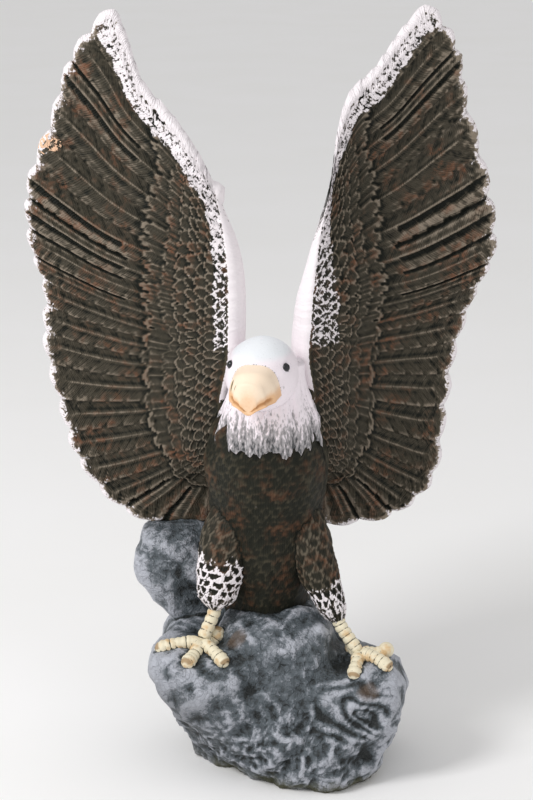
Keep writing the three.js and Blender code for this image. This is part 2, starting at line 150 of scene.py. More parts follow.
def cloud(points: Array, size: float, seed: float = 0.0) -> Array:
    """Smooth noise in space.

    Each corner of a lattice has its own scattered value, and a point takes the values of the
    eight corners round it, weighed by smoothed distance.

    Args:
        points: Where the noise is wanted, in millimetres.
        size: Spacing of the lattice in millimetres.
        seed: Shifts the lattice's values.

    Returns:
        Values from -1 to 1.
    """
    q = points / size + 31.7 * seed + 500.0
    cell = np.floor(q)
    part = q - cell
    part = part * part * (3.0 - 2.0 * part)
    total = np.zeros(points.shape[:-1])
    for corner in itertools.product((0, 1), repeat=3):
        at = cell + corner
        weight = np.prod(np.where(np.array(corner) == 1, part, 1.0 - part), axis=-1)
        total += weight * scatter(at[..., 0], at[..., 1], at[..., 2], seed)
    return 2.0 * total - 1.0


def crag(points: Array, size: float, seed: float, octaves: int = 4) -> Array:
    """Noise with sharp ridges, whose octaves are turned against each other.

    Each octave is 1 - 2|n|, which creases where the noise n crosses nothing, at half the size
    and 0.55 of the height of the one before.

    Args:
        points: Where the noise is wanted, in millimetres.
        size: Spacing of the broadest octave in millimetres.
        seed: Shifts the values.
        octaves: Number of octaves.

    Returns:
        Values round 0, mostly from -1 to 1.
    """
    turned = np.array([[0.36, 0.48, -0.8], [-0.8, 0.6, 0.0], [0.48, 0.64, 0.6]])
    total, height = np.zeros(points.shape[:-1]), 1.0
    for octave in range(octaves):
        points = points @ turned
        total += height * (0.6 - 2 * np.abs(cloud(points, size * 0.5**octave, seed + octave)))
        height *= 0.55
    return total


@dataclass(frozen=True)
class Curve:
    """Smooth curve through points: cubic pieces with centripetal spacing.

    Args:
        stations: The points that the curve runs through.
    """

    stations: Array

    def at(self, share: Array | float) -> Array:
        """Points at shares of the stations' count.

        Each piece is the cubic whose end slopes come from the points on either side, weighed
        by the square roots of the distances between them.

        Args:
            share: From 0 at the first station to 1 at the last.

        Returns:
            One point for each share.
        """
        p = np.asarray(self.stations, float)
        last = len(p) - 1
        ends = np.vstack([2 * p[0] - p[1], p, 2 * p[-1] - p[-2]])
        where = np.clip(np.asarray(share, float), 0.0, 1.0) * last
        k = np.minimum(where.astype(int), last - 1)
        w = (where - k)[..., None]
        a, b, c, d = (ends[k + n] for n in range(4))
        steps = [np.sqrt(np.linalg.norm(v - u, axis=-1))[..., None] for u, v in ((a, b), (b, c), (c, d))]
        before, across, after = steps
        slope_b = ((b - a) / before - (c - a) / (before + across) + (c - b) / across) * across
        slope_c = ((c - b) / across - (d - b) / (across + after) + (d - c) / after) * across
        third = 2 * b - 2 * c + slope_b + slope_c
        return b + w * (slope_b + w * (3 * c - 3 * b - 2 * slope_b - slope_c + w * third))

    def along(self, share: Array | float) -> Array:
        """Unit directions of the curve at shares of it."""
        share = np.asarray(share, float)
        low, high = np.maximum(share - 1e-4, 0.0), np.minimum(share + 1e-4, 1.0)
        return unit(self.at(high) - self.at(low))

    def length(self) -> float:
        """Length of the curve in millimetres."""
        p = self.at(np.linspace(0.0, 1.0, 200))
        return float(np.linalg.norm(np.diff(p, axis=0), axis=1).sum())


# Closed surfaces

PAINTS = ("white", "tone", "barb", "across", "furrow", "stain")


@dataclass
class Form:
    """One closed surface of the casting.

    Args:
        name: Maker's word for it.
        points: Corners in millimetres.
        faces: Triangles as corner numbers.
        look: The paint that it takes.
        paint: What the paint reads at each corner. white is how much pale dry brush lies
        there, and under the head less of it as painted shade, tone a feather's own shade, and
        on the crown, the beak, the shanks and the toes where painted shade lies, barb how far a
        corner's barb lies along the feather and across how far the corner lies from its shaft,
        both in millimetres, furrow how deep the barbs are cut, and stain old damage or dirt,
        the nails, and the dark of the nostril slits, which is partly painted shade.
    """

    name: str
    points: Array
    faces: Array
    look: Look
    paint: dict[str, Array] = field(default_factory=dict)

    def __post_init__(self) -> None:
        """Turns the faces outwards, judged by the enclosed volume."""
        a, b, c = (self.points[self.faces[:, n]] for n in range(3))
        if np.einsum("ij,ij->i", a, np.cross(b, c)).sum() < 0:
            self.faces = self.faces[:, ::-1]

    def mesh(self) -> bpy.types.Mesh:
        """The surface as a Blender mesh in metres, with its paint as point attributes."""
        mesh = bpy.data.meshes.new(self.name)
        mesh.from_pydata(self.points * MM, [], self.faces.tolist())
        count = len(self.points)
        for paint in (*PAINTS, "own"):
            values = np.ones(count) if paint == "own" else self.paint.get(paint, np.zeros(count))
            layer = mesh.attributes.new(paint, "FLOAT", "POINT")
            layer.data.foreach_set("value", np.broadcast_to(values, count).astype(np.float32))
        for look in Look:
            mesh.materials.append(bpy.data.materials.get(look.name.lower()))
        index = np.full(len(self.faces), self.look.value, np.int32)
        mesh.polygons.foreach_set("material_index", index)
        return mesh


def quads(a: Array, b: Array, c: Array, d: Array) -> Array:
    """Two triangles for each quad of corners a, b, c, d."""
    first = np.stack([a, b, c], axis=-1).reshape(-1, 3)
    second = np.stack([a, c, d], axis=-1).reshape(-1, 3)
    return np.vstack([first, second])


def ring_faces(rings: int, around: int) -> Array:
    """Triangles of a stack of closed rings with a pole at each end.

    Args:
        rings: Number of rings.
        around: Corners in each ring.

    Returns:
        Triangles over corners in order of ring, then the first pole, then the last.
    """
    i = np.arange(rings - 1)[:, None] * around
    j = np.arange(around)
    after = (j + 1) % around
    sides = quads(i + j, i + after, i + around + after, i + around + j)
    first, last, top = rings * around, rings * around + 1, (rings - 1) * around
    below = np.stack([np.full(around, first), after, j], axis=-1)
    above = np.stack([np.full(around, last), top + j, top + after], axis=-1)
    return np.vstack([sides, below, above])


@dataclass
class Rings:
    """Grid of shares for a surface of stacked rings.

    Args:
        sections: Steps from pole to pole.
        around: Corners in a ring.
        front: How much closer together the corners lie at the front, as a share.
        base: Share of the height that the first tenth of the rings covers.
    """

    sections: int
    around: int
    front: float = 0.0
    base: float = 0.1

    @property
    def v(self) -> Array:
        """Share from the first pole to the last, one row for each ring."""
        share = np.arange(1, self.sections) / self.sections
        return np.interp(share, [0, 0.1, 1], [0, self.base, 1])[:, None] * np.ones(self.around)

    @property
    def u(self) -> Array:
        """Share of the way round, one column for each corner of a ring."""
        share = np.arange(self.around) / self.around
        share = share - self.front / (2 * math.pi) * np.sin(2 * math.pi * (share - 0.75))
        return np.ones((self.sections - 1, 1)) * share

    @property
    def directions(self) -> Array:
        """Unit directions over a whole ball, for rings that run from its bottom to its top."""
        polar, turn = math.pi * (1 - self.v), 2 * math.pi * self.u
        return stack(np.sin(polar) * np.cos(turn), np.sin(polar) * np.sin(turn), np.cos(polar))

    def form(self, name: str, points: Array, look: Look, poles: Array | None = None, **paint: Array) -> Form:
        """A closed form of the grid's points, whose poles are the middles of the end rings.

        Args:
            name: Maker's word for the form.
            points: Points over the grid.
            look: The paint that it takes.
            poles: The two poles, where they aren't the middles of the end rings.
            **paint: What the paint reads, over the grid.

        Returns:
            The form.
        """
        ends = np.stack([points[0].mean(axis=0), points[-1].mean(axis=0)]) if poles is None else poles
        corners = np.vstack([points.reshape(-1, 3), ends])
        layers = {
            key: np.append(np.broadcast_to(layer, points.shape[:2]).ravel(), [np.mean(layer)] * 2)
            for key, layer in paint.items()
        }
        return Form(name, corners, ring_faces(len(points), self.around), look, layers)


def sheet_form(
    name: str, outer: Array, inner: Array, skip: int, look: Look, bulge: float, **paint: Array
) -> Form:
    """A closed form between a fine sheet and a coarser one, joined by a rounded rim.

    The rim is a half ellipse from the fine sheet's edge to the coarse one's: at angle w it lies
    cos(w) of half the thickness from the middle, and sin(w) of the bulge outside it.

    Args:
        name: Maker's word for the form.
        outer: Points of the fine sheet, over a grid.
        inner: Points of the coarse sheet, over every skip-th column of the same grid.
        skip: Columns of the fine sheet to a column of the coarse one.
        look: The paint that it takes.
        bulge: How far the rim stands out, as a share of the thickness.
        **paint: What the paint reads, over the fine grid.

    Returns:
        The form.
    """
    ni, nj = outer.shape[:2]
    nb = inner.shape[1]
    i, j = np.arange(ni), np.arange(nj)
    loop_i = np.concatenate([i[:-1], np.full(nj - 1, ni - 1), i[:0:-1], np.zeros(nj - 1, int)])
    loop_j = np.concatenate([np.zeros(ni - 1, int), j[:-1], np.full(ni - 1, nj - 1), j[:0:-1]])
    fine = loop_i * nj + loop_j
    near = np.round(loop_j / skip).astype(int)
    coarse = ni * nj + loop_i * nb + near
    front = outer.reshape(-1, 3)[fine]
    back = inner.reshape(-1, 3)[coarse - ni * nj]
    within = outer[np.clip(loop_i, 2, ni - 3), np.clip(loop_j, 3, nj - 4)]
    across = front - back
    thick = np.linalg.norm(across, axis=1, keepdims=True)
    out = (front - within) * np.array([1.0, 0.0, 1.0])
    middle = (front + back) / 2
    angles = np.radians([35.0, 90.0, 145.0])
    rings = [middle + np.cos(w) * across / 2 + np.sin(w) * bulge * thick * unit(out) for w in angles]
    corners = np.vstack([outer.reshape(-1, 3), inner.reshape(-1, 3), *rings])
    count = len(fine)
    ids = [fine] + [ni * nj + ni * nb + n * count + np.arange(count) for n in range(len(rings))]
    a, b = i[:-1, None] * nj + j[:-1], i[1:, None] * nj + j[:-1]
    faces = [quads(a, b, b + 1, a + 1)]
    jb = np.arange(nb - 1)
    a, b = ni * nj + i[:-1, None] * nb + jb, ni * nj + i[1:, None] * nb + jb
    faces.append(quads(a, a + 1, b + 1, b))
    for upper, lower in itertools.pairwise(ids):
        faces.append(quads(np.roll(upper, -1), upper, lower, np.roll(lower, -1)))
    rim, after = ids[-1], np.roll(ids[-1], -1)
    faces.append(np.stack([after, rim, coarse], axis=-1))
    step = np.roll(coarse, -1)
    moved = step != coarse
    faces.append(np.stack([after, coarse, step], axis=-1)[moved])
    layers = {}
    for key, layer in paint.items():
        layer = np.broadcast_to(layer, (ni, nj))
        rear = layer[:, ::skip]
        layers[key] = np.concatenate([layer.ravel(), rear.ravel(), *[layer.ravel()[fine]] * len(rings)])
    return Form(name, corners, np.vstack(faces), look, layers)


def bar_form(
    name: str,
    curve: Curve,
    radius: Callable[[Array, Array], Array],
    over: Array,
    grid: Rings,
    look: Look,
    dome: float = 0.12,
    **paint: Array,
) -> Form:
    """A round bar along a curve, with domed ends.

    A ring lies square to the curve at each share v of it. Within a dome of either end, its
    radius shrinks as the height of a quarter circle does.

    Args:
        name: Maker's word for the form.
        curve: The middle line of the bar.
        radius: Radius for shares along and around.
        over: A direction that the bar never runs along, from which its sides are set out.
        grid: The grid of rings.
        look: The paint that it takes.
        dome: Share of the length that each end's dome takes.
        **paint: What the paint reads, over the grid.

    Returns:
        The form.
    """
    v, u = grid.v, grid.u
    middle, along = curve.at(v), curve.along(v)
    side = unit(np.cross(np.broadcast_to(over, along.shape), along))
    up = np.cross(along, side)
    short = 1 - np.minimum(np.minimum(v, 1 - v) / dome, 1)
    r = (radius(v, u) * np.sqrt(1 - short * short))[..., None]
    turn = (2 * math.pi * u)[..., None]
    points = middle + side * r * np.cos(turn) + up * r * np.sin(turn)
    return grid.form(name, points, look, curve.at(np.array([0.0, 1.0])), **paint)


# Carving


@dataclass
class Scales:
    """Overlapping feathers in staggered rows.

    Across a row, column c counts feathers. Along, row r counts rows, so a feather of row n ends
    on the curve r = n + bow * (1 - (2a - 1)^2), with a its own share from side to side, and the
    rows nearer the base lie on top.

    Args:
        r: Rows from the base, at each point.
        c: Feathers across, at each point.
        bow: How round the tips are, in rows.
    """

    r: Array
    c: Array
    bow: float = 0.5

    def __post_init__(self) -> None:
        """Works out which feather shows at each point and where on it the point lies."""
        low = np.floor(self.r)
        shift = 0.5 * np.mod(low, 2)
        a = np.mod(self.c + shift, 1.0)
        end = low + self.bow * (1 - (2 * a - 1) ** 2)
        under = self.r > end
        self.row = np.where(under, low + 1, low)
        shift = 0.5 * np.mod(self.row, 2)
        self.a = np.mod(self.c + shift, 1.0)
        self.tip = self.row + self.bow * (1 - (2 * self.a - 1) ** 2) - self.r
        self.tone = 2 * scatter(self.row, np.floor(self.c + shift), 3.0) - 1

    def relief(self, rise: float, rim: float, rim_width: float = 0.13) -> Array:
        """Height of the feathers: each rises towards its tip and has a raised rim round it.

        Args:
            rise: How far the tip stands over the base.
            rim: How far the rim stands over the tip.
            rim_width: Width of the rim, in rows.

        Returns:
            Heights in the units of rise and rim.
        """
        edge = bump(self.tip, 0.1, rim_width) + 0.5 * bump(np.abs(2 * self.a - 1), 0.9, 0.16)
        return rise * (0.5 - np.clip(self.tip, 0, 1)) + rim * (np.clip(edge, 0, 1) - 0.4)

    def shaft(self, width: float = 0.1) -> Array:
        """Height from 0 to 1 of the shaft along the middle of each feather."""
        return bump(self.a, 0.5, width) * smooth(self.tip, 0.1, 0.35)


# The rock

# The size that the rock's blobs and cuts are set out at, and the size that it is built at
REFERENCE_ROCK = np.array([326.0, 236.0, 212.0])
ROCK_SIZE = np.array([ROCK_WIDTH, ROCK_DEPTH, ROCK_HEIGHT])
# Millimetres from loop to loop of the rock's swirl, which the carving and the paint both use
LOOP_SPACING = 13.0


@dataclass
class Rock:
    """The boulder under the eagle's feet: boxy blobs melted together and cut by sloping planes.

    Args:
        blobs: Middle and radii of each blob, at the reference size.
        cuts: Outward direction and a point of each plane, at the reference size.
        boxiness: Power that squares the blobs up.
        blend: Radius of the hollow where two blobs meet.
        grid: The grid of rings over it.
    """

    blobs: tuple[tuple[float, ...], ...] = (
        (24, 2, 60, 130, 112, 100),  # core
        (56, -50, 40, 84, 74, 64),  # prow under the slab
        (-76, -34, 116, 66, 84, 55),  # ledge under the right foot
        (110, -30, 90, 72, 80, 61),  # ledge under the left foot
        (12, -10, 142, 76, 84, 76),  # slab between the feet
        (2, 62, 108, 92, 62, 92),  # back, under the tail
        (-92, 50, 120, 48, 54, 52),  # root of the pillar
        (-117, -52, 151, 28, 42, 23),  # lip under the right foot's outer toe
        (134, -58, 130, 33, 42, 28),  # lip under the left foot's outer toes
    )
    cuts: tuple[tuple[float, ...], ...] = (
        (-0.91, 0, -0.41, -136, 0, 101),  # undercut on the eagle's right
        (0.93, 0, -0.36, 174, 0, 62),  # undercut on the eagle's left
        (-0.52, -0.62, -0.59, -77, -32, 0),  # front under the right foot
        (0.8, -0.3, -0.52, 124, -106, 0),  # front under the left foot
    )
    boxiness: float = 2.8
    blend: float = 16.0
    grid: Rings = field(default_factory=lambda: Rings(82, 168, 0.35, 0.28))

    @property
    def heart(self) -> Array:
        """The point inside that every ray to the surface starts from."""
        return np.array([0.06, 0.02, 0.32]) * ROCK_SIZE

    def boxy(self, offset: Array) -> Array:
        """Length of vectors by the measure that makes a ball boxy."""
        return (np.abs(offset) ** self.boxiness).sum(axis=-1) ** (1 / self.boxiness)

    def melt(self, a: Array, b: Array) -> Array:
        """The smaller of two fields, with the crease between them filled to a hollow."""
        h = np.clip(0.5 + 0.5 * (b - a) / self.blend, 0, 1)
        return lerp(b, a, h) - self.blend * h * (1 - h)

    def outside(self, points: Array) -> Array:
        """How far points lie outside the rock, about in millimetres, negative inside it."""
        p = points * REFERENCE_ROCK / ROCK_SIZE
        fields = [
            (self.boxy((p - blob[:3]) / blob[3:]) - 1) * min(blob[3:]) for blob in map(np.array, self.blobs)
        ]
        total = fields[0]
        for other in fields[1:]:
            total = self.melt(total, other)
        for cut in map(np.array, self.cuts):
            total = -self.melt(-total, -((p - cut[3:]) @ cut[:3]))
        x, y, z = np.moveaxis(p, -1, 0)
        lumps = 4 * np.sin(x / 23 + 1.3) * np.sin(y / 27 + 0.4) * np.sin(z / 19 + 0.7)
        ripples = 2.2 * np.sin(x / 11 - z / 14) * np.cos(y / 12 + z / 17)
        return total + lumps + ripples

    def top(self, x: Array | float, y: Array | float) -> Array:
        """Height of the rock's top over points of the plan."""
        z = np.arange(OUTCROP_HEIGHT, 0, -0.5)
        inside = self.outside(stack(np.asarray(x)[..., None], np.asarray(y)[..., None], z)) < 0
        return np.where(inside.any(axis=-1), z[np.argmax(inside, axis=-1)], 0.0)

    def chiselled(self, points: Array) -> Array:
        """Fine relief of the rock in millimetres: crumpled below, worn above, swirls at one side."""
        warped = points + 7 * stack(cloud(points, 27, 1), cloud(points, 31, 2), cloud(points, 24, 3))
        low = 1 - smooth(points[..., 2], 60, 140)
        calm = self.near_knot(points)
        crumple = crag(warped, 25, 4)
        fold = crag(warped * [1.0, 1.0, 0.6], 50, 9, 3)
        relief = lerp(1.0, 3.4, low) * crumple * (1 - 0.8 * calm) + 3.6 * fold * (1 - 0.6 * calm)
        loops = 2.4 * np.abs(np.sin(math.pi * self.swirl(points) / LOOP_SPACING)) ** 0.7 - 1.6
        return relief + calm * loops + 0.4 * cloud(points, 5, 5)

    def near_knot(self, points: Array) -> Array:
        """Share from 0 to 1 to which a point belongs to the swirl."""
        offset = (points - [108.0, -98.0, 104.0]) / [58.0, 70.0, 44.0]
        return 1 - smooth(np.linalg.norm(offset, axis=-1), 0.7, 1.1)

    def swirl(self, points: Array) -> Array:
        """Distances in loops round a knot under the eagle's left foot, as in folded clay."""
        x, _, z = np.moveaxis(points - [126.0, -98.0, 98.0], -1, 0)
        x = x + 15 * cloud(points, 34, 6)
        z = z + 13 * cloud(points, 29, 7) + 0.25 * x
        return np.hypot(0.62 * x, z)

    def stain(self, points: Array) -> Array:
        """Where brown earth colour lies on the rock: by the right shank and over the knot."""
        spots = (((-38.0, -70.0, 190.0), 17.0), ((126.0, -100.0, 128.0), 15.0), ((128.0, -118.0, 60.0), 6.0))
        near = [bump(np.linalg.norm(points - np.array(at), axis=-1), 0, size) for at, size in spots]
        return np.clip(sum(near) * (1 + 0.6 * cloud(points, 9, 8)), 0, 1)

    def form(self) -> Form:
        """The rock's surface: where rays from its heart leave it, or meet the ground."""
        ray = self.grid.directions
        inside = np.zeros(ray.shape[:2])
        outside = np.full(ray.shape[:2], 2 * max(ROCK_SIZE))
        for _ in range(22):
            half = (inside + outside) / 2
            within = self.outside(self.heart + ray * half[..., None]) < 0
            inside, outside = np.where(within, half, inside), np.where(within, outside, half)
        skin = self.heart + ray * inside[..., None]
        carved = inside + self.chiselled(skin)
        down = np.minimum(ray[..., 2], -1e-6)
        ground = np.where(ray[..., 2] < 0, -self.heart[2] / down, np.inf)
        points = self.heart + ray * np.minimum(carved, ground)[..., None]
        poles = self.heart + np.array([[0, 0, -self.heart[2]], [0, 0, carved[-1].mean()]])
        return self.grid.form(
            "rock", points, Look.ROCK, poles, stain=self.stain(points), barb=self.swirl(skin),
            furrow=self.near_knot(skin),
        )


@dataclass
class Outcrop:
    """The pillar of rock behind the eagle's right foot, which carries the wing's lower edge."""

    rock: Rock
    grid: Rings = field(default_factory=lambda: Rings(56, 60))

    def form(self) -> Form:
        """A boxy ball, drawn in and leaning towards the eagle below its middle."""
        d = self.grid.directions
        heart = np.array([-0.35 * ROCK_WIDTH, 0.29 * ROCK_DEPTH, 0.86 * OUTCROP_HEIGHT])
        foot = smooth(-d[..., 2], 0.1, 0.95)
        wave = (1 + 0.05 * np.sin(6 * d[..., 2] + 4 * d[..., 0])) / self.rock.boxy(d)
        wide, deep = 0.175 * ROCK_WIDTH, 0.18 * ROCK_DEPTH
        tall = np.where(d[..., 2] > 0, OUTCROP_HEIGHT - heart[2], heart[2] - 0.66 * ROCK_HEIGHT)
        waist = 1 - 0.3 * foot
        skin = heart + stack(wide * waist, deep * waist, tall) * d * wave[..., None]
        skin = skin + stack(0.1 * ROCK_WIDTH * foot, 0, 0)
        relief = 2.6 * crag(skin * [1.0, 1.0, 0.6], 44, 8, 3) + 1.0 * crag(skin, 20, 12)
        return self.grid.form("outcrop", skin + d * relief[..., None], Look.ROCK)


# The bird. Its heights are over the ledge under its right foot.

BIRD_BASE = np.array([0.0, 0.0, LEDGE_HEIGHT])


@dataclass
class Trunk:
    """Breast, belly and back, from the root in the rock to the neck inside the head."""

    low: float = -30.0
    high: float = 356.0
    wide: Stations = ((0, 0.6), (0.2, 0.72), (0.45, 0.9), (0.68, 1), (0.78, 0.9), (0.88, 0.64), (1, 0.46))
    front: Stations = ((0, -0.4), (0.16, -0.56), (0.42, -0.8), (0.68, -1), (0.85, -1), (1, -0.98))
    rear: Stations = ((0, 1.15), (0.16, 1.2), (0.4, 1.1), (0.68, 0.98), (0.84, 0.66), (1, -0.1))
    scale_height: float = 11.0
    scale_width: float = 15.0
    grid: Rings = field(default_factory=lambda: Rings(100, 102, 0.35))

    def form(self) -> Form:
        """A tower of ovals with small overlapping breast feathers."""
        v, u = self.grid.v, self.grid.u
        turn = 2 * math.pi * u
        y0, y1 = ease(self.front, v) * CHEST_DEPTH / 2, ease(self.rear, v) * CHEST_DEPTH / 2
        reach = ease(self.wide, v) * CHEST_WIDTH / 2
        z = lerp(self.low, self.high, v)
        drum = stack(70 * np.cos(turn), 70 * np.sin(turn), z)
        scales = Scales(
            (self.high - z + 7 * cloud(drum, 38, 11)) / self.scale_height,
            u * round(math.pi * CHEST_WIDTH / self.scale_width) + 0.45 * cloud(drum, 30, 12),
            0.5,
        )
        relief = scales.relief(0.8, 0.35, 0.3) + 1.2 * cloud(drum * [1.0, 1.0, 0.6], 17, 13)
        relief = relief + 0.6 * crag(drum * [1.0, 1.0, 0.8], 19, 14, 2)
        points = stack(
            (reach + relief) * np.cos(turn),
            (y0 + y1) / 2 + ((y1 - y0) / 2 + relief) * np.sin(turn),
            z + BIRD_BASE[2],
        )
        poles = np.array([[0, (y0[n, 0] + y1[n, 0]) / 2, BIRD_BASE[2] + z[n, 0]] for n in (0, -1)])
        return self.grid.form(
            "trunk", points, Look.PLUMAGE, poles, tone=0.6 * scales.tone, barb=70 * turn, across=z,
            furrow=np.full_like(v, 0.25),
        )


@dataclass
class Ruff:
    """The pale neck feathers: a skirt over the breast whose hem runs in pointed locks."""

    locks: int = 12
    point: float = 14.0
    stand: float = 6.0
    shift: float = 3.0
    grid: Rings = field(default_factory=lambda: Rings(50, 156, 0.3))

    def form(self) -> Form:
        """A skirt under the head, cut into locks and each lock into strands."""
        v, u = self.grid.v, self.grid.u
        turn = 2 * math.pi * u
        throat = 0.5 - 0.5 * np.sin(turn)
        lock = 1 - np.abs(2 * np.mod(u * self.locks, 1) - 1)
        first = 1 / 6
        fall = 1 - v
        full = smooth(fall, 0.05, 0.85)
        lift = np.clip((v - first) / (1 - first), 0, 1)
        drum = stack(72 * np.cos(turn), 72 * np.sin(turn), 0 * v)
        ragged = 6 * crag(drum, 11, 15, 3)
        hem = 274 - 12 * throat - self.point * 0.4 * (lock - 0.5) - ragged
        z = np.where(v < first, lerp(284, hem, v / first), lerp(hem, 372, lift))
        strand_at = drum + stack(0, 0, 0.3 * z) + 4 * stack(cloud(drum + stack(0, 0, z), 22, 16), 0, 0)
        strand = crag(strand_at, 11, 17, 3)
        cut = 1 - smooth(lift, 0.42, 0.85)
        tuck = smooth(v, 0.0, first)
        relief = (2.4 * strand * cut + 1.0 * cloud(strand_at, 16, 14)) * tuck
        wide = lerp(0.56, 0.8, full) * CHEST_WIDTH / 2 + self.stand * lock * full
        y0 = -lerp(1.0, 1.06, full) * CHEST_DEPTH / 2 - self.stand * lock * full
        y1 = lerp(-0.1, 0.62, full) * CHEST_DEPTH / 2
        wide, half = (wide + relief) * lerp(0.86, 1, tuck), ((y1 - y0) / 2 + relief) * lerp(0.86, 1, tuck)
        points = stack(
            self.shift + wide * np.cos(turn), (y0 + y1) / 2 + half * np.sin(turn), z + BIRD_BASE[2]
        )
        return self.grid.form(
            "ruff", points, Look.HEAD, white=lerp(0.16, 0.97, smooth(lift, -0.05, 0.66)), furrow=cut,
            barb=72 * turn, across=z,
        )


@dataclass
class Tail:
    """The fan of the tail, which runs down behind the body onto the rock."""

    width: float = 150.0
    length: float = 190.0
    thickness: float = 30.0
    feathers: int = 7
    step: float = 5.0
    columns: int = 71
    rows: int = 43
    skip: int = 7

    def form(self) -> Form:
        """Two sheets over shares down and across, the outer one carved in feathers."""
        t = np.linspace(0, 1, self.rows)[:, None]
        a = np.linspace(0, 1, self.columns)[None, :]
        own = np.mod(a * self.feathers * 0.9999, 1.0)
        lock = 2 * own - 1

        def place(sign: float, share: Array, carve: Array | float) -> Array:
            spread = lerp(0.6, 1, share) * self.width * (a - 0.5)
            bow = 0.17 * self.width * (1 - (2 * a - 1) ** 2)
            tip = smooth(share, 0.85, 1) * 10 * (1 - lock * lock)
            y = lerp(0.36, 0.74, share) * CHEST_DEPTH + bow + sign * self.thickness / 2 + carve
            return stack(spread, y, BIRD_BASE[2] + 220 - self.length * share - tip)

        shaft = 1.8 * bump(own, 0.45, 0.07)
        ragged = 0.8 * cloud(stack(lock * 20 + 90 * a, 0, 60 * t), 7, 15)
        carve = self.step * 0.7 * (0.5 - np.abs(lock)) * t + shaft + ragged
        inner = place(-1, t, 0.0)[:, :: self.skip]
        barb = self.length * t - 8 * np.abs(lock)
        tone = 2 * scatter(np.floor(a * self.feathers * 0.9999), 7.0) - 1 + 0 * t
        white = 0.5 * smooth(t, 0.93, 1.0) + 0 * a
        return sheet_form(
            "tail", place(1, t, carve), inner, self.skip, Look.PLUMAGE, 0.3,
            tone=tone, barb=barb, across=11 * lock, furrow=np.ones_like(barb), white=white,
        )


